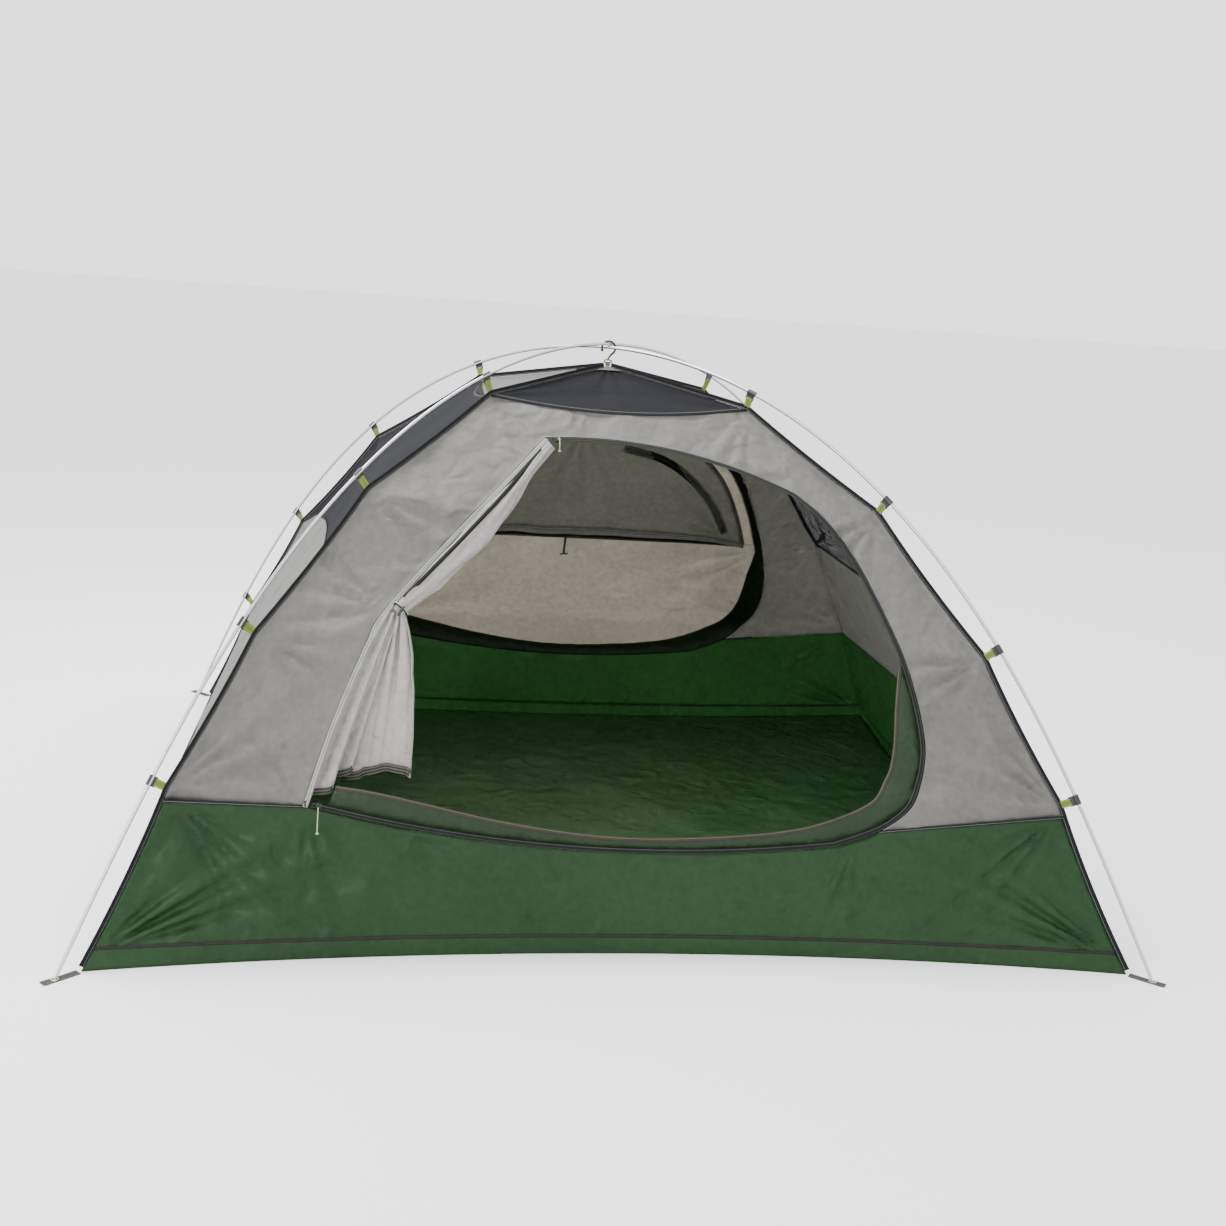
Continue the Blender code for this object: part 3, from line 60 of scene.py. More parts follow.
def camera_axes(degrees):
    """Right, forward and up: the world axes turned about up, then right, then forward."""
    yaw, pitch, roll = np.radians(degrees)
    turn = np.array([[np.cos(yaw), np.sin(yaw), 0], [-np.sin(yaw), np.cos(yaw), 0], [0, 0, 1]])
    tilt = np.array([[1, 0, 0], [0, np.cos(pitch), np.sin(pitch)], [0, -np.sin(pitch), np.cos(pitch)]])
    bank = np.array([[np.cos(roll), 0, np.sin(roll)], [0, 1, 0], [-np.sin(roll), 0, np.cos(roll)]])
    return bank @ tilt @ turn


right, forward, up = camera_axes(CAMERA_TURN)
camera_data = bpy.data.cameras.new("camera")
camera_data.sensor_width = 36
camera_data.lens = LENS
camera = bpy.data.objects.new("camera", camera_data)
placed = np.eye(4)
placed[:3] = np.column_stack([right, up, -forward, CAMERA_AT])
camera.matrix_world = Matrix(placed.tolist())
bpy.context.scene.collection.objects.link(camera)
bpy.context.scene.camera = camera

floor_mesh = bpy.data.meshes.new("studio_floor")
FLOOR_SIDE = 90
floor_mesh.from_pydata([(-FLOOR_SIDE, -FLOOR_SIDE, 0), (FLOOR_SIDE, -FLOOR_SIDE, 0),
                        (FLOOR_SIDE, FLOOR_SIDE, 0), (-FLOOR_SIDE, FLOOR_SIDE, 0)], [], [(0, 1, 2, 3)])
floor_mesh.transform(Matrix.Translation((0, 0, -0.0005)))
studio_floor = bpy.data.objects.new("studio_floor", floor_mesh)
bpy.context.scene.collection.objects.link(studio_floor)
floor_paint = bpy.data.materials.new("studio_floor")
floor_paint.use_nodes = True
floor_paint.node_tree.nodes["Principled BSDF"].inputs["Base Color"].default_value = (0.86, 0.86, 0.855, 1)
floor_paint.node_tree.nodes["Principled BSDF"].inputs["Roughness"].default_value = 0.9
floor_mesh.materials.append(floor_paint)

world = bpy.data.worlds.new("daylight")
world.use_nodes = True
world.node_tree.nodes["Background"].inputs["Color"].default_value = (0.97, 0.985, 1.0, 1)
world.node_tree.nodes["Background"].inputs["Strength"].default_value = 2.3
bpy.context.scene.world = world
for name, at, size, power in (("overhead", (-1.2, 0.6, 4.4), 2.6, 330),
                              ("front", (-3.4, -4.2, 2.6), 1.6, 120)):
    lamp_data = bpy.data.lights.new(name, "AREA")
    lamp_data.size = size
    lamp_data.energy = power
    lamp = bpy.data.objects.new(name, lamp_data)
    lamp.location = at
    lamp.rotation_euler = (Vector((0, 0, 0.5)) - Vector(at)).to_track_quat("-Z", "Y").to_euler()
    bpy.context.scene.collection.objects.link(lamp)


# Zip pulls: two short lengths of thin light green braided cord, one knotted through each slider,
# hanging down over the cloth, and each ending in a small overhand knot.

PULL_DIAMETER = 0.0025
PULL_LENGTH = 0.060
PULL_SWING = 0.026
SLIDER_TOP_AT = np.array([-0.1703, -0.4208, 1.1552])
SLIDER_LOWER_AT = np.array([-0.7261, -0.9720, 0.3452])
FACET_OUT = np.array([0, -0.6391, 0.7691])
FACET_DOWN = np.array([0, -0.7691, -0.6391])


def new_material(name, **values):
    """A material of one shader with the given socket values: itself, its node tree and its shader."""
    made = bpy.data.materials.new(name)
    made.use_nodes = True
    shader = made.node_tree.nodes["Principled BSDF"]
    for socket, value in values.items():
        shader.inputs[socket.replace("_", " ")].default_value = value
    return made, made.node_tree, shader


def node(tree, kind, **values):
    """A shader node with the given input values."""
    made = tree.nodes.new(kind)
    for key, value in values.items():
        made.inputs[key].default_value = value
    return made


def noise(tree, place, **values):
    """Cloudy noise over the piece: its factor."""
    made = node(tree, "ShaderNodeTexNoise", **values)
    tree.links.new(place.outputs["Object"], made.inputs["Vector"])
    return made.outputs["Fac"]


def ramped(tree, factor, dark, light, start, stop):
    """A colour that goes from dark to light as the factor goes from start to stop."""
    ramp = tree.nodes.new("ShaderNodeValToRGB")
    for element, colour, position in zip(ramp.color_ramp.elements, (dark, light), (start, stop)):
        element.color = (*colour, 1)
        element.position = position
    tree.links.new(factor, ramp.inputs["Fac"])
    return ramp.outputs["Color"]


def bumped(tree, height, distance, strength=1.0, over=None):
    """The surface raised by a height, over another bump's normal if one is given."""
    bump = node(tree, "ShaderNodeBump", Distance=distance, Strength=strength)
    tree.links.new(height, bump.inputs["Height"])
    if over:
        tree.links.new(over, bump.inputs["Normal"])
    return bump.outputs["Normal"]


def cord_material(name, colour, dark):
    """Braided cord: fine specks of light and dark yarn."""
    made, tree, shader = new_material(name, Roughness=0.75)
    yarn = noise(tree, tree.nodes.new("ShaderNodeTexCoord"), Scale=900)
    tree.links.new(ramped(tree, yarn, dark, colour, 0.35, 0.6), shader.inputs["Base Color"])
    tree.links.new(bumped(tree, yarn, 0.0004), shader.inputs["Normal"])
    return made


pull_green = cord_material("pull_green", (0.34, 0.44, 0.22), (0.16, 0.25, 0.10))


def pull_route(at, out, down):
    """Ten even steps: out and down the slope at first, turning to hang straight down."""
    steps = 10
    t = (np.arange(steps) + 0.5) / steps
    hang = np.clip((t - 0.35) / 0.5, 0, 1)[:, None]
    ahead = down * (1 - hang) + np.array([0, 0, -1]) * hang
    ahead = ahead + out * (PULL_SWING / PULL_LENGTH * 2 * (1 - t))[:, None]
    ahead *= PULL_LENGTH / steps / np.linalg.norm(ahead, axis=1)[:, None]
    start = at + out * 0.00515
    return np.vstack([start, start + np.cumsum(ahead, axis=0)])


def cord_curve(name, points, diameter, material):
    """A smooth round cord through its route's points."""
    curve = bpy.data.curves.new(name, "CURVE")
    curve.dimensions = "3D"
    curve.bevel_depth = diameter / 2
    curve.bevel_resolution = 4
    curve.use_fill_caps = True
    spline = curve.splines.new("POLY")
    spline.points.add(len(points) - 1)
    spline.points.foreach_set("co", np.column_stack([points, np.ones(len(points))]).ravel())
    cord = bpy.data.objects.new(name, curve)
    curve.materials.append(material)
    bpy.context.scene.collection.objects.link(cord)
    return cord


def ring_tube(name, path, radius, material, sides=10, closed=True):
    """A round tube whose section is carried along a path, closed into a ring or capped to a point."""
    ahead = np.roll(path, -1, axis=0) - np.roll(path, 1, axis=0) if closed else np.gradient(path, axis=0)
    ahead /= np.linalg.norm(ahead, axis=1)[:, None]
    first = np.cross(ahead, [0.31, 0.57, 0.76])
    first /= np.linalg.norm(first, axis=1)[:, None]
    second = np.cross(ahead, first)
    turn = np.linspace(0, 2 * np.pi, sides, endpoint=False)
    radius = np.broadcast_to(radius, len(path))
    ring = first[:, None] * np.cos(turn)[:, None] + second[:, None] * np.sin(turn)[:, None]
    points = path[:, None] + radius[:, None, None] * ring
    rows = np.arange(len(path)) if closed else np.arange(len(path) - 1)
    i, j = np.meshgrid(rows, np.arange(sides), indexing="ij")
    n = len(path)
    faces = np.stack([i * sides + j, i * sides + (j + 1) % sides,
                      (i + 1) % n * sides + (j + 1) % sides, (i + 1) % n * sides + j], axis=-1)
    mesh = bpy.data.meshes.new(name)
    mesh.from_pydata(points.reshape(-1, 3).tolist(), [], faces.reshape(-1, 4).tolist())
    made = bmesh.new()
    made.from_mesh(mesh)
    if not closed:
        bmesh.ops.holes_fill(made, edges=made.edges, sides=sides)
    bmesh.ops.recalc_face_normals(made, faces=made.faces)
    made.to_mesh(mesh)
    made.free()
    mesh.shade_smooth()
    mesh.materials.append(material)
    tube = bpy.data.objects.new(name, mesh)
    bpy.context.scene.collection.objects.link(tube)
    return tube


def knot_path(centre, size):
    """A trefoil: x = sin t + 2 sin 2t, y = cos t - 2 cos 2t, z = -sin 3t, scaled."""
    t = np.linspace(0, 2 * np.pi, 48, endpoint=False)
    shape = np.column_stack([np.sin(t) + 2 * np.sin(2 * t), np.cos(t) - 2 * np.cos(2 * t), -np.sin(3 * t)])
    return centre + size * shape


for end, at, out, down in (("top", SLIDER_TOP_AT, FACET_OUT, FACET_DOWN),
                           ("lower", SLIDER_LOWER_AT, np.array([0, -1.0, 0]), np.array([0, 0, -1.0]))):
    route = pull_route(at, out, down)
    pull = cord_curve("zip_pull_" + end, route, PULL_DIAMETER, pull_green)
    knot = ring_tube("zip_pull_knot_" + end, knot_path(route[-1], 0.0011), 0.0011, pull_green)
    body = "front_zip_slider_" + end
    for piece in (pull, knot):
        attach(piece, body)
    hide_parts("front_zip_pull_" + end)


# Bathtub: a coated dark green groundsheet and four green walls about 35 cm high, sewn to it along
# a dark piping, all held out at the corners by the foot straps.

ACROSS, ALONG = 0.74329, 0.66896  # shares of the floor's diagonal in X and Y
SEAM_HEIGHTS = np.array([0.0, 0.3771, 0.7039, 1.0231, 1.2493, 1.3240])  # floor, clips, peak
SEAM_REACHES = np.array([1.6466, 1.4277, 1.1930, 0.8666, 0.4596, 0.0])
SEAM_SCALLOPS = np.array([0.010, 0.008, 0.010, 0.010, 0.0])
BATHTUB_TOP = 0.353
ZIP_PLANE = 0.972
PIPING_HEIGHT = 0.045
FLOOR_BOW_FRONT = 0.10
FLOOR_BOW_SIDE = 0.07
CHEST_BOW = ((0.377, 0.80, 1.023, 1.249), (0, 0.035, 0.0175, 0))  # heights, and the side walls' bow there


def seam_reach(z):
    """Corner seam's distance from the middle: straight between clips, less a parabola's hollow."""
    z = np.asarray(z, float)
    span = np.clip(np.searchsorted(SEAM_HEIGHTS, z, side="right") - 1, 0, 4)
    low, high = SEAM_HEIGHTS[span], SEAM_HEIGHTS[span + 1]
    share = (z - low) / (high - low)
    return np.interp(z, SEAM_HEIGHTS, SEAM_REACHES) - SEAM_SCALLOPS[span] * 4 * share * (1 - share)


def middle_reach(z):
    """The cloth away from the corners: the straight stretches with their bends rounded off."""
    shifts = np.array([-0.03, -0.015, 0.0, 0.015, 0.03])
    return np.mean([np.interp(z + shift, SEAM_HEIGHTS, SEAM_REACHES) for shift in shifts], axis=0)


def wall_depth(x, z):
    """End wall's distance from the middle plane: seam at the edges, rounded cloth within, floor bow."""
    x, z = np.broadcast_arrays(np.asarray(x, float), np.asarray(z, float))
    edge = seam_reach(z)
    share = np.clip(np.abs(x) / (edge * ACROSS), 0, 1)
    reach = middle_reach(z) + (edge - middle_reach(z)) * share**4
    bow = FLOOR_BOW_FRONT * np.clip(1 - z / BATHTUB_TOP, 0, 1)
    return reach * ALONG - bow * (1 - share**2)


def side_depth(y, z):
    """Side wall's distance from the middle plane, with its bows at the floor and at chest height."""
    y, z = np.broadcast_arrays(np.asarray(y, float), np.asarray(z, float))
    edge = seam_reach(z)
    share = np.clip(np.abs(y) / (edge * ALONG), 0, 1)
    reach = middle_reach(z) + (edge - middle_reach(z)) * share**4
    bow = FLOOR_BOW_SIDE * np.clip(1 - z / BATHTUB_TOP, 0, 1)
    bow = bow + np.interp(z, *CHEST_BOW)
    return reach * ACROSS - bow * (1 - share**2)


def creases(u, v, seed, size, height, count=7):
    """Sharp-crested creases: 1 - 2|sin| summed along seeded directions, each bent by slow sines.

    Size is their spacing and height their depth, in metres.
    """
    draw = np.random.default_rng(seed)
    total = np.zeros(np.shape(u))
    for angle, phase, swing, stretch in zip(draw.uniform(0, np.pi, count), draw.uniform(0, 9, count),
                                            draw.uniform(0, 9, count), draw.uniform(0.6, 1.6, count)):
        along = (u * np.cos(angle) + v * np.sin(angle)) / (size * stretch)
        over = (v * np.cos(angle) - u * np.sin(angle)) / (size * 2.2 * stretch)
        patch = 0.5 + 0.5 * np.sin(over * 1.7 + along * 0.6 + swing)
        total += patch * (1 - 2 * np.abs(np.sin(along * np.pi / 2 + 1.1 * np.sin(over + swing) + phase)))
    return height * total / count**0.5


def pulls(u, v, anchors):
    """Tension folds: from each anchor a fan of cosine ridges that fades with distance and angle.

    An anchor is its place, its direction and spread in degrees, its length and height, and its ridges.
    """
    total = np.zeros(np.shape(u))
    for at_u, at_v, degrees, spread, length, height, ridges in anchors:
        du, dv = u - at_u, v - at_v
        far = np.hypot(du, dv)
        angle = np.arctan2(dv, du) - np.radians(degrees)
        angle = np.angle(np.exp(1j * angle)) / np.radians(spread)
        fade = np.exp(-far / length) * (1 - np.exp(-(far / 0.06) ** 2)) * np.exp(-angle**2)
        total += 1.6 * height * fade * np.cos(ridges * angle * np.pi + 3 * np.sin(2.1 * angle) + at_u * 9)
    return total


def fade(distance, width):
    """0 at an edge, rising evenly to 1 at the given width from it."""
    return np.clip(distance / width, 0, 1)


def stand_off(points, heights, outward):
    """Each point of a grid moved along the grid's normal, on the side that outward points to."""
    normal = np.cross(np.gradient(points, axis=1), np.gradient(points, axis=0))
    normal /= np.linalg.norm(normal, axis=2)[..., None] + 1e-12
    normal *= np.sign((normal * outward).sum(axis=2))[..., None]
    return points + normal * heights[..., None]


def cloth(name, points, material, outward, thickness=0.0008, uv=None, wrap=False):
    """A sheet on a grid of points, given its thickness inwards, with UVs in metres along the cloth."""
    rows, columns = points.shape[:2]
    number = np.arange(rows * columns).reshape(rows, columns)
    if wrap:
        number = np.column_stack([number, number[:, 0]])
    faces = np.stack([number[:-1, :-1], number[:-1, 1:], number[1:, 1:], number[1:, :-1]], axis=-1)
    facing = np.cross(points[:-1, 1:] - points[:-1, :-1], points[1:, :-1] - points[:-1, :-1])
    toward = outward(points[:-1, :-1]) if callable(outward) else np.asarray(outward)
    if (facing * toward).sum() < 0:
        faces = faces[..., ::-1]
    faces = faces.reshape(-1, 4)
    mesh = bpy.data.meshes.new(name)
    mesh.from_pydata(points.reshape(-1, 3).tolist(), [], faces.tolist())
    if uv is None:
        along_row = np.linalg.norm(np.diff(points, axis=1), axis=2)
        along_column = np.linalg.norm(np.diff(points, axis=0), axis=2)
        u = np.column_stack([np.zeros(rows), np.cumsum(along_row, axis=1)])
        v = np.vstack([np.zeros(columns), np.cumsum(along_column, axis=0)])
        uv = np.stack([u, v], axis=-1)
    layer = mesh.uv_layers.new(name="cloth")
    layer.data.foreach_set("uv", uv.reshape(-1, 2)[faces.ravel()].ravel())
    mesh.shade_smooth()
    mesh.materials.append(material)
    made = bpy.data.objects.new(name, mesh)
    bpy.context.scene.collection.objects.link(made)
    if thickness:
        wall = made.modifiers.new("thickness", "SOLIDIFY")
        wall.thickness = thickness
        wall.offset = -1
    return made


def seal(piece, within=1e-6):
    """Closes a wrapped grid's ends: points on one spot made one, and its faces turned outwards."""
    shell = bmesh.new()
    shell.from_mesh(piece.data)
    bmesh.ops.remove_doubles(shell, verts=shell.verts, dist=within)
    bmesh.ops.recalc_face_normals(shell, faces=shell.faces)
    shell.to_mesh(piece.data)
    shell.free()


def two_tone(tree, factor, dark, light):
    """A colour between dark and light."""
    tint = tree.nodes.new("ShaderNodeMix")
    tint.data_type = "RGBA"
    tint.inputs[6].default_value = (*dark, 1)
    tint.inputs[7].default_value = (*light, 1)
    tree.links.new(factor, tint.inputs[0])
    return tint.outputs[2]


def ranged(tree, value, low, high):
    """A 0 to 1 value stretched to run from low to high."""
    made = node(tree, "ShaderNodeMapRange")
    made.inputs["To Min"].default_value = low
    made.inputs["To Max"].default_value = high
    tree.links.new(value, made.inputs["Value"])
    return made.outputs["Result"]


def woven(name, colour, shade, rough, crinkle, crinkle_size, through=0.0, sheen=0.0, coat=0.0, weave=0.0009,
          glow_gain=1.6):
    """Woven cloth: a fine over-and-under weave, crumpled creases, and slow drifts of colour."""
    made, tree, shader = new_material(name, Sheen_Weight=sheen, Specular_IOR_Level=0.22, Coat_Weight=coat,
                                      Coat_Roughness=0.35)
    link = tree.links.new
    place = tree.nodes.new("ShaderNodeTexCoord")
    drift = noise(tree, place, Scale=2.3, Detail=4.0, Roughness=0.6)
    fine = noise(tree, place, Scale=60.0, Detail=3.0)
    folds = node(tree, "ShaderNodeTexNoise", Scale=1 / crinkle_size, Detail=5.0, Roughness=0.55,
                 Distortion=0.5)
    folds.noise_type = "RIDGED_MULTIFRACTAL"
    cells = node(tree, "ShaderNodeTexVoronoi", Scale=0.55 / crinkle_size)
    cells.feature = "DISTANCE_TO_EDGE"
    for texture in (folds, cells):
        link(place.outputs["Object"], texture.inputs["Vector"])
    mixed = node(tree, "ShaderNodeMapRange")
    mixed.inputs["From Min"].default_value = 0.3
    mixed.inputs["From Max"].default_value = 0.7
    link(drift, mixed.inputs["Value"])
    grain = tree.nodes.new("ShaderNodeMix")
    grain.data_type = "RGBA"
    grain.blend_type = "MULTIPLY"
    grain.inputs[0].default_value = 0.35
    link(two_tone(tree, mixed.outputs["Result"], shade, colour), grain.inputs[6])
    link(fine, grain.inputs[7])
    link(grain.outputs[2], shader.inputs["Base Color"])
    warp = tree.nodes.new("ShaderNodeTexWave")
    weft = tree.nodes.new("ShaderNodeTexWave")
    weft.bands_direction = "Y"
    for texture in (warp, weft):
        texture.inputs["Scale"].default_value = 0.314 / weave
        texture.inputs["Distortion"].default_value = 0.4
        link(place.outputs["UV"], texture.inputs["Vector"])
    threads = tree.nodes.new("ShaderNodeMath")
    threads.operation = "MULTIPLY"
    link(warp.outputs["Fac"], threads.inputs[0])
    link(weft.outputs["Fac"], threads.inputs[1])
    link(ranged(tree, threads.outputs["Value"], rough - 0.06, rough + 0.06), shader.inputs["Roughness"])
    deep = bumped(tree, folds.outputs["Fac"], crinkle, 0.8)
    facets = bumped(tree, cells.outputs["Distance"], crinkle * 1.4, 0.5, over=deep)
    surface = bumped(tree, threads.outputs["Value"], 0.00012, 0.5, over=facets)
    link(surface, shader.inputs["Normal"])
    if through:
        glow = tree.nodes.new("ShaderNodeBsdfTranslucent")
        lit = node(tree, "ShaderNodeHueSaturation", Value=glow_gain, Saturation=0.82)
        link(grain.outputs[2], lit.inputs["Color"])
        link(lit.outputs["Color"], glow.inputs["Color"])
        link(surface, glow.inputs["Normal"])
        both = tree.nodes.new("ShaderNodeMixShader")
        both.inputs[0].default_value = through
        link(shader.outputs["BSDF"], both.inputs[1])
        link(glow.outputs["BSDF"], both.inputs[2])
        link(both.outputs["Shader"], tree.nodes["Material Output"].inputs["Surface"])
    return made


def tape_material(name, colour, thread, rows=(), rib=0.0011, rough=0.8):
    """Woven tape: ribs across it, and rows of light stitches at the given distances from one edge."""
    made, tree, shader = new_material(name, Roughness=rough, Specular_IOR_Level=0.12)
    link = tree.links.new
    place = tree.nodes.new("ShaderNodeTexCoord")
    apart = tree.nodes.new("ShaderNodeSeparateXYZ")
    link(place.outputs["UV"], apart.inputs[0])

    def math(operation, first, second=None, third=None):
        """One arithmetic node on sockets or numbers."""
        step = tree.nodes.new("ShaderNodeMath")
        step.operation = operation
        for slot_number, value in enumerate((first, second, third)):
            if isinstance(value, (int, float)):
                step.inputs[slot_number].default_value = value
            elif value is not None:
                link(value, step.inputs[slot_number])
        return step.outputs[0]

    ribs = math("SINE", math("MULTIPLY", apart.outputs[0], 6.283 / rib))
    wear = noise(tree, place, Scale=35.0, Detail=4.0)
    colour_out = two_tone(tree, wear, [0.7 * c for c in colour], [1.25 * c for c in colour])
    height = math("MULTIPLY", ribs, 0.25)
    dash = math("LESS_THAN", math("PINGPONG", apart.outputs[0], 0.002), 0.0013)
    for row in rows:
        near = math("LESS_THAN", math("ABSOLUTE", math("SUBTRACT", apart.outputs[1], row)), 0.00055)
        stitch = math("MULTIPLY", near, dash)
        painted = tree.nodes.new("ShaderNodeMix")
        painted.data_type = "RGBA"
        painted.inputs[7].default_value = (*thread, 1)
        link(stitch, painted.inputs[0])
        link(colour_out, painted.inputs[6])
        colour_out = painted.outputs[2]
        height = math("ADD", height, stitch)
    link(colour_out, shader.inputs["Base Color"])
    link(bumped(tree, height, 0.0003, 0.8), shader.inputs["Normal"])
    return made


def ribbon(name, path, across, material, width, lift=0.0, thickness=0.0008, crown=0.0003):
    """A tape carried along a path: seven points across, crowned, standing lift off along its normal."""
    ahead = np.gradient(path, axis=0)
    ahead /= np.linalg.norm(ahead, axis=1)[:, None]
    across = np.broadcast_to(across, path.shape)
    across = across - ahead * (across * ahead).sum(axis=1)[:, None]
    across /= np.linalg.norm(across, axis=1)[:, None]
    normal = np.cross(ahead, across)
    if (normal * path * [1, 1, 0.3]).sum() < 0:
        normal = -normal
    share = np.linspace(-1, 1, 7)
    points = (path[:, None] + across[:, None] * (share * width / 2)[:, None]
              + normal[:, None] * (lift + crown * (1 - share**2))[:, None])
    along = np.concatenate([[0], np.cumsum(np.linalg.norm(np.diff(path, axis=0), axis=1))])
    uv = np.stack(np.broadcast_arrays(along[:, None], (share + 1) * width / 2), axis=-1)
    return cloth(name, points, material, normal.mean(axis=0), thickness, uv)


def resampled(path, count):
    """The same path with evenly spaced points."""
    along = np.concatenate([[0], np.cumsum(np.linalg.norm(np.diff(path, axis=0), axis=1))])
    wanted = np.linspace(0, along[-1], count)
    return np.stack([np.interp(wanted, along, column) for column in path.T], axis=1)


groundsheet_cloth = woven("groundsheet_cloth", (0.062, 0.160, 0.056), (0.040, 0.115, 0.038), 0.34, 0.012,
                          0.08, coat=0.35)
bathtub_cloth = woven("bathtub_cloth", (0.040, 0.108, 0.038), (0.030, 0.086, 0.029), 0.40, 0.014, 0.06,
                      through=0.60, coat=0.2, glow_gain=2.6)
piping_tape = tape_material("piping_tape", (0.018, 0.018, 0.016), (0.3, 0.3, 0.28))

u, v = np.meshgrid(np.linspace(-1, 1, 150), np.linspace(-1, 1, 140))
foot_x = SEAM_REACHES[0] * ACROSS - 0.004
foot_y = SEAM_REACHES[0] * ALONG - 0.004
x = u * (foot_x - FLOOR_BOW_SIDE * (1 - v**2))
y = v * (foot_y - FLOOR_BOW_FRONT * (1 - u**2))
inside = fade(1 - np.maximum(np.abs(u), np.abs(v)), 0.06)
rise = 0.006 + creases(x, y, 3, 0.16, 0.0050) + creases(x, y, 4, 0.05, 0.0024)
z = 0.0012 + np.clip(rise, 0, None) * inside
ground = np.stack([x, y, z], axis=-1)
groundsheet = cloth("groundsheet", ground, groundsheet_cloth, (0, 0, 1))
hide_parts("bathtub_floor")
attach(groundsheet, "tent_body")

# Door outline: a round arc along the top, a free curve down the right side, a long shallow arc
# across the bathtub, and a straight sewn edge on the left. Both doors have it.

DOOR_SIDE = np.array([[0.545, 0.965], [0.622, 0.840], [0.690, 0.682], [0.722, 0.560], [0.726, 0.470],
                      [0.694, 0.385], [0.620, 0.315]])
TOP_ARC_MIDDLE, TOP_ARC_RISE, TOP_ARC_RADIUS = -0.09, 0.218, 0.95  # rise above the highest clips
BOTTOM_ARC_MIDDLE, BOTTOM_ARC_LOW, BOTTOM_ARC_RADIUS = 0.08, 0.24, 3.4
HINGE_TOP = np.array([-0.205, 1.158])
HINGE_FOOT = np.array([-0.762, 0.346])
WALL_HEIGHTS = np.array([0, BATHTUB_TOP, *SEAM_HEIGHTS[1:5]])
WALL_REACHES = np.interp(WALL_HEIGHTS, SEAM_HEIGHTS, SEAM_REACHES) * ALONG
WALL_STEPS = np.hypot(np.diff(WALL_HEIGHTS), np.diff(WALL_REACHES))
WALL_STEPS[0] = BATHTUB_TOP
WALL_CLIMB = np.concatenate([[0], np.cumsum(WALL_STEPS)])


def smooth_path(knots, steps=6):
    """A Catmull-Rom curve through the knots."""
    padded = np.vstack([2 * knots[0] - knots[1], knots, 2 * knots[-1] - knots[-2]])
    a, b, c, d = padded[:-3, None], padded[1:-2, None], padded[2:-1, None], padded[3:, None]
    t = (np.arange(steps) / steps)[:, None]
    points = 0.5 * (2 * b + (c - a) * t + (2 * a - 5 * b + 4 * c - d) * t**2 + (3 * b - a - 3 * c + d) * t**3)
    return np.vstack([points.reshape(-1, knots.shape[1]), knots[-1]])


def offset_path(path, distance):
    """A flat path moved to the right of its direction of travel."""
    ahead = np.gradient(path, axis=0)
    ahead /= np.linalg.norm(ahead, axis=1)[:, None]
    return path + distance * np.stack([ahead[:, 1], -ahead[:, 0]], axis=1)


def door_edge(inset=0.0):
    """The zipped edge as x and height, from the top corner clockwise, inset along the cloth."""
    x = np.linspace(-0.205, 0.44, 40)
    arc = np.sqrt(TOP_ARC_RADIUS**2 - (x - TOP_ARC_MIDDLE) ** 2) - TOP_ARC_RADIUS
    top = np.stack([x, WALL_CLIMB[4] + TOP_ARC_RISE + arc], axis=1)
    x = np.linspace(0.50, -0.762, 50)
    arc = BOTTOM_ARC_RADIUS - np.sqrt(BOTTOM_ARC_RADIUS**2 - (x - BOTTOM_ARC_MIDDLE) ** 2)
    bottom = np.stack([x, BOTTOM_ARC_LOW + arc], axis=1)
    side = np.stack([DOOR_SIDE[:, 0], np.interp(DOOR_SIDE[:, 1], WALL_HEIGHTS, WALL_CLIMB)], axis=1)
    side = smooth_path(np.vstack([top[-2:], side, bottom[:2]]), 8)[9:-9]
    path = offset_path(np.vstack([top, side, bottom]), inset)
    return np.stack([path[:, 0], np.interp(path[:, 1], WALL_CLIMB, WALL_HEIGHTS)], axis=1)


def zip_depth(x, z):
    """Distance from the middle plane along the door's edge: flat across the bathtub, then the wall."""
    rise = np.clip((np.asarray(z) - 0.35) / 0.07, 0, 1)
    rise = rise * rise * (3 - 2 * rise)
    return ZIP_PLANE * (1 - rise) + wall_depth(x, np.maximum(z, 0.35)) * rise


def on_wall(path, side, depth=0.0):
    """A path of x and height put on the front (-1) or rear (1) wall, some way inside it."""
    return np.stack([path[:, 0], side * (zip_depth(path[:, 0], path[:, 1]) - depth), path[:, 1]], axis=1)


edge = door_edge()
crossing = np.flatnonzero((edge[:, 0] > 0) & (edge[:, 1] < 0.312))[0]  # where it meets the bathtub seam
edge_above = edge[:crossing + 1]
edge_below = edge[crossing:]
SEAM_CORNER = np.array([float(seam_reach(BATHTUB_TOP)) * ACROSS, BATHTUB_TOP])


def bathtub_top(x):
    """Height of a bathtub end wall: the seam on each side, and the door's lower arc between."""
    low = edge_below[::-1]
    across = np.concatenate([[-SEAM_CORNER[0]], low[:, 0], [SEAM_CORNER[0]]])
    return np.interp(x, across, np.concatenate([[BATHTUB_TOP], low[:, 1], [BATHTUB_TOP]]))


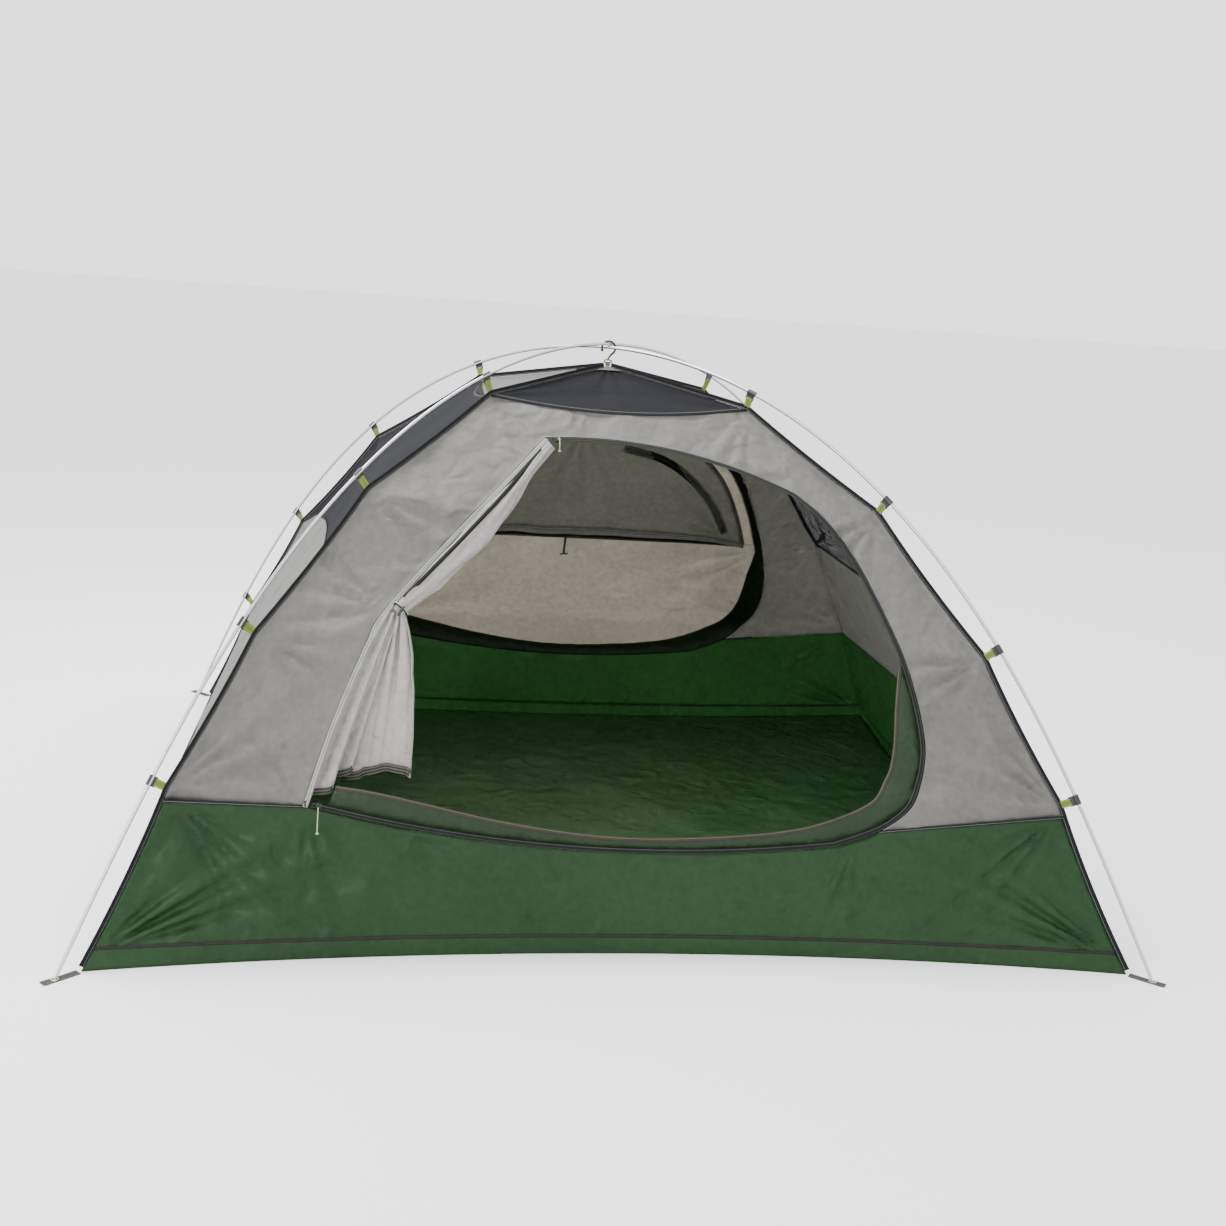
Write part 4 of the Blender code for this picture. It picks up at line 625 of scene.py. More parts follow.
for side_name, side in (("front", -1), ("rear", 1)):
    u, v = np.meshgrid(np.linspace(-1, 1, 260), np.linspace(0, 1, 48))
    top_x = u * SEAM_CORNER[0]
    z = v * bathtub_top(top_x)
    x = u * (seam_reach(z) * ACROSS)
    doorway = fade(top_x + 0.80, 0.1) * fade(0.68 - top_x, 0.1)
    depth = wall_depth(x, z) + doorway * v**3 * (ZIP_PLANE - wall_depth(x, bathtub_top(top_x)))
    wall = np.stack([x, side * depth, z], axis=-1)
    calm = fade(1 - np.abs(u), 0.04) * fade(1 - v, 0.10)
    calm = calm * fade(z - PIPING_HEIGHT, 0.03)
    fans = [(-1.22, 0.02, 25, 24, 0.42, 0.011, 2.6), (1.22, 0.02, 155, 24, 0.42, 0.011, 2.6),
            (-1.06, 0.36, -42, 28, 0.30, 0.008, 2.2), (1.06, 0.36, 222, 28, 0.30, 0.008, 2.2),
            (-0.76, 0.35, -80, 40, 0.20, 0.006, 2.4), (0.55, 0.28, -100, 40, 0.22, 0.006, 2.4)]
    folds = pulls(x, z, fans) + creases(x, z, 11, 0.11, 0.0070) + creases(x, z, 12, 0.045, 0.0034)
    wall = stand_off(wall, (folds - 0.002) * calm, np.array([0, side, 0]))
    panel = cloth("bathtub_wall_" + side_name, wall, bathtub_cloth, (0, side, 0))
    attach(panel, "tent_body")

    run = np.linspace(-1, 1, 120)
    z = np.full_like(run, PIPING_HEIGHT)
    x = run * seam_reach(z) * ACROSS
    seam = np.stack([x, side * (wall_depth(x, z) + 0.0005), z], axis=1)
    piping = ribbon("piping_" + side_name, seam, (0, 0, 1), piping_tape, 0.009, 0.0006,
                    0.0012, 0.0012)
    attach(piping, "tent_body")

for side_name, side in (("left", -1), ("right", 1)):
    u, v = np.meshgrid(np.linspace(-1, 1, 200), np.linspace(0, 1, 44))
    z = v * BATHTUB_TOP
    y = u * seam_reach(z) * ALONG
    wall = np.stack([side * side_depth(y, z), y, z], axis=-1)
    calm = fade(1 - np.abs(u), 0.05) * fade(1 - v, 0.08)
    calm = calm * fade(z - PIPING_HEIGHT, 0.03)
    fans = [(-1.10, 0.02, 25, 24, 0.40, 0.010, 2.6), (1.10, 0.02, 155, 24, 0.40, 0.010, 2.6),
            (-0.95, 0.36, -42, 28, 0.28, 0.007, 2.2), (0.95, 0.36, 222, 28, 0.28, 0.007, 2.2)]
    folds = pulls(y, z, fans) + creases(y, z, 14 + side, 0.12, 0.0070) + creases(y, z, 17, 0.045, 0.0034)
    wall = stand_off(wall, (folds - 0.002) * calm, np.array([side, 0, 0]))
    panel = cloth("bathtub_wall_" + side_name, wall, bathtub_cloth, (side, 0, 0))
    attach(panel, "tent_body")
    run = np.linspace(-1, 1, 110)
    z = np.full_like(run, PIPING_HEIGHT)
    y = run * seam_reach(z) * ALONG
    seam = np.stack([side * (side_depth(y, z) + 0.0005), y, z], axis=1)
    piping = ribbon("piping_" + side_name, seam, (0, 0, 1), piping_tape, 0.009, 0.0006,
                    0.0012, 0.0012)
    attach(piping, "tent_body")


# End walls: light grey polyester sewn to the bathtub, to the corner seams and to the roof, each
# with a doorway cut out. The front one's hinge edge is pulled down by the tied-up door.

HINGE_PULLED = np.array([[-0.762, 0.346], [-0.705, 0.520], [-0.635, 0.690], [-0.590, 0.768],
                         [-0.405, 0.965], [-0.205, 1.158]])
HEM_SAG = 0.026
TOP_TURN = 0.36  # where the doorway's edge turns from the top to the right side
wall_cloth = woven("wall_cloth", (0.270, 0.262, 0.242), (0.225, 0.218, 0.202), 0.5, 0.014, 0.06,
                   through=0.50, sheen=0.15)
edge_tape = tape_material("edge_tape", (0.009, 0.009, 0.010), (0.20, 0.20, 0.20), rows=(0.0028,))
hem_tape = tape_material("hem_tape", (0.17, 0.168, 0.16), (0.55, 0.55, 0.53), rows=(0.002, 0.008))
hinge_front = smooth_path(HINGE_PULLED, 12)
hinge_rear = np.linspace(HINGE_FOOT, HINGE_TOP, 60)
HEM_HALF = float(seam_reach(SEAM_HEIGHTS[4]) * ACROSS)
over_top = edge_above[:np.flatnonzero(edge_above[:, 0] > TOP_TURN)[0] + 1]
down_right = edge_above[len(over_top) - 1:]

for side_name, side, hinge in (("front", -1, hinge_front), ("rear", 1, hinge_rear)):
    inner = np.vstack([resampled(hinge, 90), resampled(over_top, 60)[1:], resampled(down_right, 110)[1:]])
    climb = np.linspace(BATHTUB_TOP, SEAM_HEIGHTS[4], 90)
    across = np.linspace(-1, 1, 60)
    drop = np.linspace(SEAM_HEIGHTS[4], BATHTUB_TOP, 110)
    left_seam = np.stack([-seam_reach(climb) * ACROSS, climb], axis=1)
    hem = np.stack([across * HEM_HALF, SEAM_HEIGHTS[4] - HEM_SAG * (1 - across**2)], axis=1)
    right_seam = np.stack([seam_reach(drop) * ACROSS, drop], axis=1)
    outer = np.vstack([left_seam, hem[1:], right_seam[1:]])
    t = np.linspace(0, 1, 54)[:, None, None]
    plan = inner * (1 - t) + outer * t
    x, z = plan[..., 0], plan[..., 1]
    near = (1 - t[..., 0]) ** 3
    depth = wall_depth(x, z) * (1 - near) + zip_depth(x, z) * near
    wall = np.stack([x, side * depth, z], axis=-1)
    calm = fade(t[..., 0], 0.05) * fade(1 - t[..., 0], 0.06) + 0 * x
    fans = [(-1.06, 0.38, 30, 40, 0.30, 0.007, 2.4), (1.06, 0.38, 150, 40, 0.30, 0.007, 2.4),
            (-0.887, 0.70, -20, 45, 0.26, 0.007, 2.6), (0.887, 0.70, 200, 45, 0.26, 0.007, 2.6),
            (-0.644, 1.02, -30, 45, 0.22, 0.007, 2.2), (0.644, 1.02, 215, 45, 0.22, 0.007, 2.2),
            (-0.762, 0.35, 140, 40, 0.22, 0.006, 2.2), (-0.59, 0.77, 160, 50, 0.25, 0.007, 2.6),
            (-0.34, 1.25, -60, 45, 0.20, 0.005, 2.0), (0.34, 1.25, -120, 45, 0.20, 0.005, 2.0)]
    folds = (pulls(x, z, fans) + creases(x, z, 21 + side, 0.13, 0.0075)
             + creases(x, z, 23 + side, 0.05, 0.0036))
    wall = stand_off(wall, (folds - 0.001) * calm, np.array([0, side, 0.2]))
    panel = cloth("wall_" + side_name, wall, wall_cloth, (0, side, 0.2))
    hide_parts(side_name + "_wall")
    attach(panel, "tent_body")

    sewn = on_wall(offset_path(hinge, 0.006), side)
    tape = ribbon("hinge_tape_" + side_name, sewn, (1, 0, 0), hem_tape, 0.012, 0.0008)
    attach(tape, "tent_body")
    hem_line = np.stack([hem[:, 0], side * wall_depth(hem[:, 0], hem[:, 1]), hem[:, 1]], axis=1)
    tape = ribbon("roof_hem_" + side_name, hem_line, (0, side, -1), edge_tape, 0.012, 0.0012)
    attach(tape, "tent_body")
    for end, start, stop in (("left", (-SEAM_CORNER[0], BATHTUB_TOP), HINGE_FOOT),
                             ("right", edge_below[0], (SEAM_CORNER[0], BATHTUB_TOP))):
        seam = np.linspace(start, stop, 30)
        seam = np.stack([seam[:, 0], side * zip_depth(seam[:, 0], seam[:, 1]), seam[:, 1]], axis=1)
        tape = ribbon("tub_seam_" + side_name + "_" + end, seam, (0, 0, 1), edge_tape, 0.007,
                      0.0008)
        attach(tape, "tent_body")
    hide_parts("bathtub_floor")


# Side walls: grey polyester up to an arched seam, and insect mesh above it up to the roof.

HOLE_HALF_PITCH = 0.0007
THREAD_REACH = 0.00057
insect_mesh, tree, shader = new_material("insect_mesh", Roughness=0.85, Specular_IOR_Level=0.05)
link = tree.links.new
place = tree.nodes.new("ShaderNodeTexCoord")
apart = tree.nodes.new("ShaderNodeSeparateXYZ")
link(place.outputs["UV"], apart.inputs[0])
threads = []
for axis in (0, 1):
    fold = tree.nodes.new("ShaderNodeMath")
    fold.operation = "PINGPONG"
    fold.inputs[1].default_value = HOLE_HALF_PITCH
    link(apart.outputs[axis], fold.inputs[0])
    thread = tree.nodes.new("ShaderNodeMath")
    thread.operation = "LESS_THAN"
    thread.inputs[1].default_value = THREAD_REACH
    link(fold.outputs[0], thread.inputs[0])
    threads.append(thread)
cover = tree.nodes.new("ShaderNodeMath")
cover.operation = "MAXIMUM"
link(threads[0].outputs[0], cover.inputs[0])
link(threads[1].outputs[0], cover.inputs[1])
link(cover.outputs[0], shader.inputs["Alpha"])
dust = noise(tree, place, Scale=5.0, Detail=4.0)
link(two_tone(tree, dust, (0.007, 0.007, 0.009), (0.014, 0.014, 0.017)), shader.inputs["Base Color"])

for side_name, side in (("left", -1), ("right", 1)):
    u, v = np.meshgrid(np.linspace(-1, 1, 170), np.linspace(0, 1, 60))
    if side < 0:
        rise = np.interp(u, [-1, -0.94, -0.86, -0.73, -0.5, -0.125, 0.4, 0.8, 1],
                         [0, 0.040, 0.105, 0.140, 0.138, 0.112, 0.090, 0.055, 0])
    else:
        rise = 0.03 * (1 - u**4)
    arch = SEAM_HEIGHTS[2] + rise
    z = BATHTUB_TOP + v * (arch - BATHTUB_TOP)
    edge_z = BATHTUB_TOP + v * (SEAM_HEIGHTS[2] - BATHTUB_TOP)
    y = u * seam_reach(edge_z) * ALONG
    wall = np.stack([side * side_depth(y, z), y, z], axis=-1)
    calm = fade(1 - np.abs(u), 0.05) * fade(1 - v, 0.06) * fade(v, 0.06)
    fans = [(-0.95, 0.38, 30, 40, 0.30, 0.007, 2.4), (0.95, 0.38, 150, 40, 0.30, 0.007, 2.4),
            (-0.80, 0.70, -20, 45, 0.26, 0.007, 2.6), (0.80, 0.70, 200, 45, 0.26, 0.007, 2.6)]
    folds = pulls(y, z, fans) + creases(y, z, 31 + side, 0.15, 0.0075) + creases(y, z, 33, 0.05, 0.0036)
    wall = stand_off(wall, (folds - 0.001) * calm, np.array([side, 0, 0]))
    panel = cloth("side_wall_" + side_name, wall, wall_cloth, (side, 0, 0.3))
    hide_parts(side_name + "_lower_panel")
    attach(panel, "tent_body")
    for label, row, width in (("arch", -1, 0.009), ("tub", 0, 0.007)):
        tape = ribbon(label + "_seam_" + side_name, wall[row], (0, 0, 1), edge_tape, width,
                      0.0010)
        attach(tape, "tent_body")

    top = SEAM_HEIGHTS[4] - HEM_SAG * (1 - u**2)
    z = arch + v * (top - arch)
    edge_z = SEAM_HEIGHTS[2] + v * (SEAM_HEIGHTS[4] - SEAM_HEIGHTS[2])
    y = u * seam_reach(edge_z) * ALONG
    net = np.stack([side * side_depth(y, z), y, z], axis=-1)
    calm = fade(1 - np.abs(u), 0.05) * fade(1 - v, 0.06) * fade(v, 0.06)
    fans = [(-0.80, 0.70, 30, 40, 0.25, 0.006, 2.2), (0.80, 0.70, 150, 40, 0.25, 0.006, 2.2),
            (-0.58, 1.02, -20, 45, 0.22, 0.006, 2.2), (0.58, 1.02, 200, 45, 0.22, 0.006, 2.2)]
    net = stand_off(net, (pulls(y, z, fans) + creases(y, z, 35 + side, 0.17, 0.0020)) * calm,
                    np.array([side, 0, 0.3]))
    panel = cloth("mesh_wall_" + side_name, net, insect_mesh, (side, 0, 0.3), 0)
    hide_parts(side_name + "_mesh_wall")
    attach(panel, "tent_body")
    tape = ribbon("roof_hem_" + side_name, net[-1], (side, 0, -1), edge_tape, 0.012, 0.0012)
    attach(tape, "tent_body")
    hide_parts("bathtub_floor")


# Roof: four sagging facets from the top clips to the peak, grey cloth at the sides and insect
# mesh at the ends, meeting under a small reinforcement patch.

PEAK = SEAM_HEIGHTS[5]
PEAK_RISE = PEAK - SEAM_HEIGHTS[4]
FACET_END = 0.985  # how far up towards the peak a facet runs
for name, node_name, turned, side, fabric, slot_name, thick in (
        ("roof_left", "left_roof_panel", True, -1, wall_cloth, "grey_polyester", 0.0008),
        ("roof_right", "right_roof_panel", True, 1, wall_cloth, "grey_polyester", 0.0008),
        ("roof_front", "front_roof_mesh", False, -1, insect_mesh, "charcoal_mesh", 0),
        ("roof_rear", "rear_roof_mesh", False, 1, insect_mesh, "charcoal_mesh", 0)):
    u, t = np.meshgrid(np.linspace(-1, 1, 110), np.linspace(0, FACET_END, 60))
    out_share, across_share = (ACROSS, ALONG) if turned else (ALONG, ACROSS)
    reach = SEAM_REACHES[4] * (1 - t)
    spread = u * reach * across_share
    out = side * reach * out_share
    z = SEAM_HEIGHTS[4] + PEAK_RISE * t - HEM_SAG * (1 - t) * (1 - u**2)
    facet = np.stack([out, spread, z] if turned else [spread, out, z], axis=-1)
    calm = fade(1 - np.abs(u), 0.06) * fade(FACET_END - t, 0.1) * fade(t, 0.06)
    edge_half = SEAM_REACHES[4] * across_share
    fans = [(-edge_half, 0, 40, 40, 0.2, 0.004, 2.2), (edge_half, 0, 140, 40, 0.2, 0.004, 2.2),
            (0, SEAM_REACHES[4] * out_share, -90, 45, 0.2, 0.004, 2.4)]
    from_hem = SEAM_REACHES[4] * out_share - np.abs(out)
    folds = pulls(spread, from_hem, fans) + creases(spread, out, 41, 0.10, 0.0016)
    facet = stand_off(facet, folds * calm * 0.8, np.array([0, 0, 1]))
    panel = cloth(name, facet, fabric, (0, 0, 1), thick)
    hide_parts(node_name)
    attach(panel, "tent_body")

u, v = np.meshgrid(np.linspace(-1, 1, 33), np.linspace(-1, 1, 33))
x, y = u * 0.040, v * 0.036
z = PEAK + 0.0022 - PEAK_RISE / SEAM_REACHES[4] * np.sqrt((x / ACROSS) ** 4 + (y / ALONG) ** 4) ** 0.5
patch = cloth("peak_patch", np.stack([x, y, z], axis=-1), wall_cloth, (0, 0, 1), 0.0016)
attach(patch, "tent_body")


# Corner seams: a folded black binding, stitched along its inner edge, that stands out from the
# cloth from the floor to near the peak.

CORNERS = {"front_left": (-1, -1), "front_right": (1, -1), "rear_left": (-1, 1), "rear_right": (1, 1)}
TAPE_WIDTH = 0.0125


def diagonal(corner, reach, height):
    """Points of the upright plane through the middle and a corner."""
    reach, height = np.broadcast_arrays(np.asarray(reach, float), np.asarray(height, float))
    return np.stack([corner[0] * ACROSS * reach, corner[1] * ALONG * reach, height], axis=-1)


for corner_name, corner in CORNERS.items():
    height = np.concatenate([np.linspace(0.008, SEAM_HEIGHTS[4], 150),
                             np.linspace(SEAM_HEIGHTS[4], PEAK, 30)[1:-1]])
    seam = np.stack([seam_reach(height), height], axis=1)
    seam[:, 1] += 0.0006
    flat = offset_path(resampled(seam, 190), TAPE_WIDTH / 2)
    path = diagonal(corner, flat[:, 0], flat[:, 1])
    ahead = np.gradient(path, axis=0)
    side_on = np.cross([corner[0] * ACROSS, corner[1] * ALONG, 0], [0, 0, 1])
    across = np.cross(ahead, side_on)
    tape = ribbon("corner_tape_" + corner_name, path, across, edge_tape, TAPE_WIDTH, 0.0012,
                  0.0024, 0.0004)
    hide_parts("corner_tape_" + corner_name)
    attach(tape, "tent_body")


# Poles: two shock-corded aluminium rods bent from corner to corner, one over the other at the
# peak, each of sections that push together with a joint every 42 cm and narrow tips at the feet.

HALF_DIAGONAL = 1.70861
POLE_DIAMETER = 0.0085
POLE_PEAK = 1.3826
CROSSING_OFFSET = 0.00455
POLE_FOOT = 0.0015
SECTION = 0.42


def bent_rod(half_span, rise, steps=900):
    """Half of a straight rod bent between its feet, from the foot: length, reach and height.

    With k the sine of half the foot slope and p from 90 degrees down to 0, the height is
    2 k cos p and the reach is the integral of (1 - 2 k2 sin2 p) / sqrt(1 - k2 sin2 p).
    """
    angle = np.linspace(0, np.pi / 2, steps)

    def integral(values):
        return np.concatenate([[0], np.cumsum((values[1:] + values[:-1]) / 2 * angle[1])])

    low, high = 0.01, 0.85
    for _ in range(60):
        k = (low + high) / 2
        root = np.sqrt(1 - (k * np.sin(angle)) ** 2)
        reach = integral((1 - 2 * (k * np.sin(angle)) ** 2) / root)
        low, high = (low, k) if 2 * k / reach[-1] > rise / half_span else (k, high)
    length = integral(1 / root)
    rows = np.stack([length[-1] - length, reach, 2 * k * np.cos(angle)], axis=1) * half_span / reach[-1]
    return rows[::-1]


pole_metal, tree, shader = new_material("pole_metal", Metallic=1.0)
link = tree.links.new
scuffs = noise(tree, tree.nodes.new("ShaderNodeTexCoord"), Scale=90.0, Detail=6.0, Roughness=0.7)
link(ranged(tree, scuffs, 0.22, 0.44), shader.inputs["Roughness"])
link(two_tone(tree, scuffs, (0.42, 0.42, 0.43), (0.60, 0.60, 0.61)), shader.inputs["Base Color"])
link(bumped(tree, scuffs, 0.00005, 0.4), shader.inputs["Normal"])

for name, crown, corner in (("over", POLE_PEAK + CROSSING_OFFSET, (-1, -1)),
                            ("under", POLE_PEAK - CROSSING_OFFSET, (1, -1))):
    half = bent_rod(HALF_DIAGONAL, crown - POLE_FOOT)
    full = 2 * half[-1, 0]
    joints = full / 2 + SECTION * np.arange(-4, 5)
    marks = np.concatenate([[0, 0.0118, 0.0122, 0.0300, 0.0304], joints - 0.0006, joints - 0.0004,
                            joints + 0.0004, joints + 0.0006, np.arange(0.03, full / 2, 0.012)])
    marks = np.concatenate([marks, full - marks])
    marks = np.unique(np.round(marks[(marks >= 0) & (marks <= full)], 6))
    folded = np.minimum(marks, full - marks)
    reach = np.interp(folded, half[:, 0], half[:, 1]) * np.where(marks < full / 2, 1, -1)
    path = diagonal(corner, reach, np.interp(folded, half[:, 0], half[:, 2]) + POLE_FOOT)
    near_joint = np.abs(marks[:, None] - joints).min(axis=1) < 0.00045
    radius = np.where(folded < 0.012, 0.0022, POLE_DIAMETER / 2 - 0.0003 * near_joint)
    ahead = np.gradient(path, axis=0)
    ahead /= np.linalg.norm(ahead, axis=1)[:, None]
    level = np.cross([corner[0] * ACROSS, corner[1] * ALONG, 0], [0, 0, 1])
    upper = np.cross(level, ahead)
    turn = np.linspace(0, 2 * np.pi, 20, endpoint=False)[:, None]
    ring = level * np.cos(turn) + upper[:, None] * np.sin(turn)
    tube = path[:, None] + radius[:, None, None] * ring
    ends = [np.repeat(path[i][None, None], 20, axis=1) for i in (0, -1)]
    pole = cloth("pole_" + name, np.vstack([ends[0], tube, ends[1]]), pole_metal,
                 lambda p: p - p.mean(axis=1, keepdims=True), 0, wrap=True)
    seal(pole)
    pole.data.set_sharp_from_angle(angle=0.7)
    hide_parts("pole_" + name, "shock_cord_" + name)
    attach(pole, "tent_body")


# Snap clips: moulded black plastic jaws that snap onto the poles, each hung on a loop of lime
# webbing sewn into the corner seam.

CLIP_DISTANCES = (0.468, 0.877, 1.346, 1.829)
TAB_WIDTH = 0.019
BAR_DROP = 0.017
BAR_SHIFT = 0.004
lime_web = tape_material("lime_web", (0.13, 0.17, 0.03), (0.36, 0.42, 0.18), rows=(0.003, 0.016), rib=0.0014)
moulded, tree, shader = new_material("moulded_plastic")
link = tree.links.new
place = tree.nodes.new("ShaderNodeTexCoord")
scuffs = noise(tree, place, Scale=80.0, Detail=5.0)
link(two_tone(tree, scuffs, (0.005, 0.005, 0.005), (0.014, 0.014, 0.014)), shader.inputs["Base Color"])
link(ranged(tree, scuffs, 0.30, 0.52), shader.inputs["Roughness"])
link(bumped(tree, noise(tree, place, Scale=700.0, Detail=3.0), 0.0001, 0.5), shader.inputs["Normal"])


def web_loop(name, root, bar, across, width, radius, material):
    """Webbing from its root round a bar and back: two runs that spread from 0.8 mm to the radius."""
    along = bar - root
    ahead = along / np.linalg.norm(along)
    away = np.cross(across, ahead)
    share = np.linspace(0, 1, 10)[:, None]
    spread = 0.0008 + (radius - 0.0008) * share**2
    out = root + along * share - away * spread
    back = (root + along * share + away * spread)[::-1]
    turn = np.linspace(0, np.pi, 12)[1:-1, None]
    bend = bar + radius * (np.sin(turn) * ahead - np.cos(turn) * away)
    path = np.vstack([out, bend, back])
    step = np.linspace(-0.5, 0.5, 5)
    points = path[:, None] + across * (step * width)[:, None]
    length = np.concatenate([[0], np.cumsum(np.linalg.norm(np.diff(path, axis=0), axis=1))])
    uv = np.stack(np.broadcast_arrays(length[:, None], (step + 0.5) * width), axis=-1)
    middle = (root + bar) / 2
    return cloth(name, points, material, lambda p: p - middle, 0.0011, uv)


MEAN_HALF = {name: bent_rod(HALF_DIAGONAL, POLE_PEAK + lift - POLE_FOOT)
             for name, lift in (("over", CROSSING_OFFSET), ("under", -CROSSING_OFFSET))}
for corner_name, corner in CORNERS.items():
    half = MEAN_HALF["over" if corner_name in ("front_left", "rear_right") else "under"]
    for number, distance in enumerate(CLIP_DISTANCES, start=1):
        pair = np.array([distance - 0.020, distance + 0.020])
        low, high = diagonal(corner, np.interp(pair, half[:, 0], half[:, 1]),
                             np.interp(pair, half[:, 0], half[:, 2]) + POLE_FOOT)
        uphill = (high - low) / np.linalg.norm(high - low)
        flat_out = diagonal(corner, 1, 0)
        outward = flat_out - uphill * (flat_out @ uphill)
        outward /= np.linalg.norm(outward)
        sideways = np.cross(outward, uphill)
        bar = (low + high) / 2 - outward * BAR_DROP + sideways * BAR_SHIFT
        root = diagonal(corner, SEAM_REACHES[number], SEAM_HEIGHTS[number]) + outward * 0.004
        label = corner_name + "_" + str(number)
        tab = web_loop("tab_" + label, root, bar, uphill, TAB_WIDTH, 0.0030, lime_web)
        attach(tab, "tent_body")
        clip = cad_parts["clip_" + label]
        clip.data.materials.clear()
        clip.data.materials.append(moulded)


# Feet: dark webbing straps sewn under each corner, each with a brass eyelet that the pole's tip
# stands in, and a tail beyond it to stake down or to pull tight.

STRAP_WIDTH = 0.022
STRAP_INNER, STRAP_OUTER = 0.056, 0.030
STRAP_HOLE = 0.0065
EYELET_PROFILE = np.array([[0.0050, 0.0003], [0.0062, 0.0003], [0.0062, 0.0021], [0.0093, 0.0021],
                           [0.0096, 0.0025], [0.0092, 0.0030], [0.0080, 0.0032], [0.0062, 0.0033],
                           [0.0053, 0.0030], [0.0050, 0.0024], [0.0050, 0.0003]])  # radius and height
dark_web = tape_material("dark_web", (0.045, 0.047, 0.048), (0.25, 0.25, 0.25), rows=(0.003, 0.019),
                         rib=0.0016)
brass, tree, shader = new_material("worn_brass", Metallic=1.0, Roughness=0.34)
tarnish = noise(tree, tree.nodes.new("ShaderNodeTexCoord"), Scale=260.0, Detail=5.0)
tree.links.new(two_tone(tree, tarnish, (0.30, 0.22, 0.10), (0.62, 0.50, 0.26)), shader.inputs["Base Color"])

for corner_name, corner in CORNERS.items():
    foot = diagonal(corner, HALF_DIAGONAL, 0)
    outward = diagonal(corner, 1, 0)
    level = np.cross([0, 0, 1], outward)
    turn = np.linspace(0, 2 * np.pi, 96, endpoint=False)
    cosine, sine = np.cos(turn), np.sin(turn)
    ends = np.where(cosine > 0, STRAP_OUTER, STRAP_INNER)
    reach = np.minimum(ends / np.maximum(np.abs(cosine), 1e-6),
                       STRAP_WIDTH / 2 / np.maximum(np.abs(sine), 1e-6))
    share = np.linspace(0, 1, 8)[:, None]
    far = STRAP_HOLE + (reach - STRAP_HOLE) * share
    along, beside = far * cosine, far * sine
    lift = 0.0018 + 0.0004 * np.sin(along * 60) * share
    points = foot + along[..., None] * outward + beside[..., None] * level + lift[..., None] * [0, 0, 1]
    strap = cloth("foot_strap_" + corner_name, points, dark_web, (0, 0, 1), 0.0016,
                  np.stack([along, beside + STRAP_WIDTH / 2], axis=-1), wrap=True)
    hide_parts("foot_strap_" + corner_name)
    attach(strap, "tent_body")

    sweep = np.linspace(0, 2 * np.pi, 48, endpoint=False)
    radius, height = EYELET_PROFILE[:, :1], EYELET_PROFILE[:, 1:]
    points = foot + np.stack([radius * np.cos(sweep), radius * np.sin(sweep), height + 0 * sweep], axis=-1)
    eyelet = cloth("eyelet_" + corner_name, points, brass, (0, 0, 1), 0, wrap=True)
    seal(eyelet, 1e-7)
    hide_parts("grommet_" + corner_name)
    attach(eyelet, "tent_body")


# Peak hook: one moulded black piece that hangs over the crossed poles, with a ball at its open
# end and a small ring below, held to the cloth by a loop of green webbing.

HOOK_CENTRE = 1.3763
HOOK_RADIUS = 0.019
HOOK_ROD = 0.0032
turn = np.radians(np.linspace(212, -62, 70))
arc = np.stack([HOOK_RADIUS * np.cos(turn), 0 * turn, HOOK_CENTRE + HOOK_RADIUS * np.sin(turn)], axis=1)
neck = smooth_path(np.array([arc[-1], [0.0045, 0, 1.3530], [0.0008, 0, 1.3475], [0.0, 0, 1.3432]]), 8)
path = resampled(np.vstack([arc, neck[1:]]), 110)
share = np.linspace(0, 1, 110)
ball = 0.0016 * np.exp(-((share - 0.025) / 0.03) ** 2)
taper = np.sqrt(np.clip(share / 0.02, 0.02, 1)) * np.interp(share, [0, 0.8, 1], [1, 1, 0.75])
hook = ring_tube("peak_hook", path, (HOOK_ROD + ball) * taper, moulded, 16, closed=False)
sweep = np.linspace(0, 2 * np.pi, 60, endpoint=False)
loop = np.stack([0.0102 * np.sign(np.cos(sweep)) * np.abs(np.cos(sweep)) ** 0.45, 0 * sweep,
                 1.3388 + 0.0040 * np.sign(np.sin(sweep)) * np.abs(np.sin(sweep)) ** 0.45], axis=1)
ring = ring_tube("peak_ring", resampled(np.vstack([loop, loop[:1]]), 61)[:-1], 0.0017, moulded, 12)
for piece in (hook, ring):
    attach(piece, "apex_hook")
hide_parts("apex_hook")
green_web = tape_material("green_web", (0.10, 0.17, 0.06), (0.3, 0.36, 0.2), rows=(0.002, 0.012), rib=0.0014)
tab = web_loop("peak_tab", np.array([0, 0, 1.3262]), np.array([0, 0, 1.3352]), np.array([1.0, 0, 0]),
               0.014, 0.0030, green_web)
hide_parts("apex_webbing")
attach(tab, "tent_body")


# Zips and storm flaps: a black coil zip sewn round each doorway's edge, and a green flap with a
# bound edge that lies inside it along the right side and the bottom.

ZIP_GAP = 0.002
FLAP_DEPTH = 0.012
FLAP_INNER = np.array([[0.676, 0.690], [0.662, 0.586], [0.652, 0.490], [0.630, 0.425], [0.571, 0.365],
                       [0.407, 0.303], [0.163, 0.277], [-0.061, 0.277], [-0.301, 0.309], [-0.560, 0.366],
                       [-0.690, 0.385]])
zip_tape = tape_material("zip_tape", (0.010, 0.010, 0.010), (0.07, 0.07, 0.07), rows=(0.003,), rib=0.0016)
coil = tape_material("zip_coil", (0.030, 0.030, 0.030), (0.1, 0.1, 0.1), rib=0.0022, rough=0.4)
flap_cloth = woven("flap_cloth", (0.020, 0.040, 0.016), (0.014, 0.030, 0.012), 0.5, 0.006, 0.03, through=0.15)
flap_binding = tape_material("flap_binding", (0.032, 0.028, 0.020), (0.14, 0.14, 0.11), rows=(0.003,))


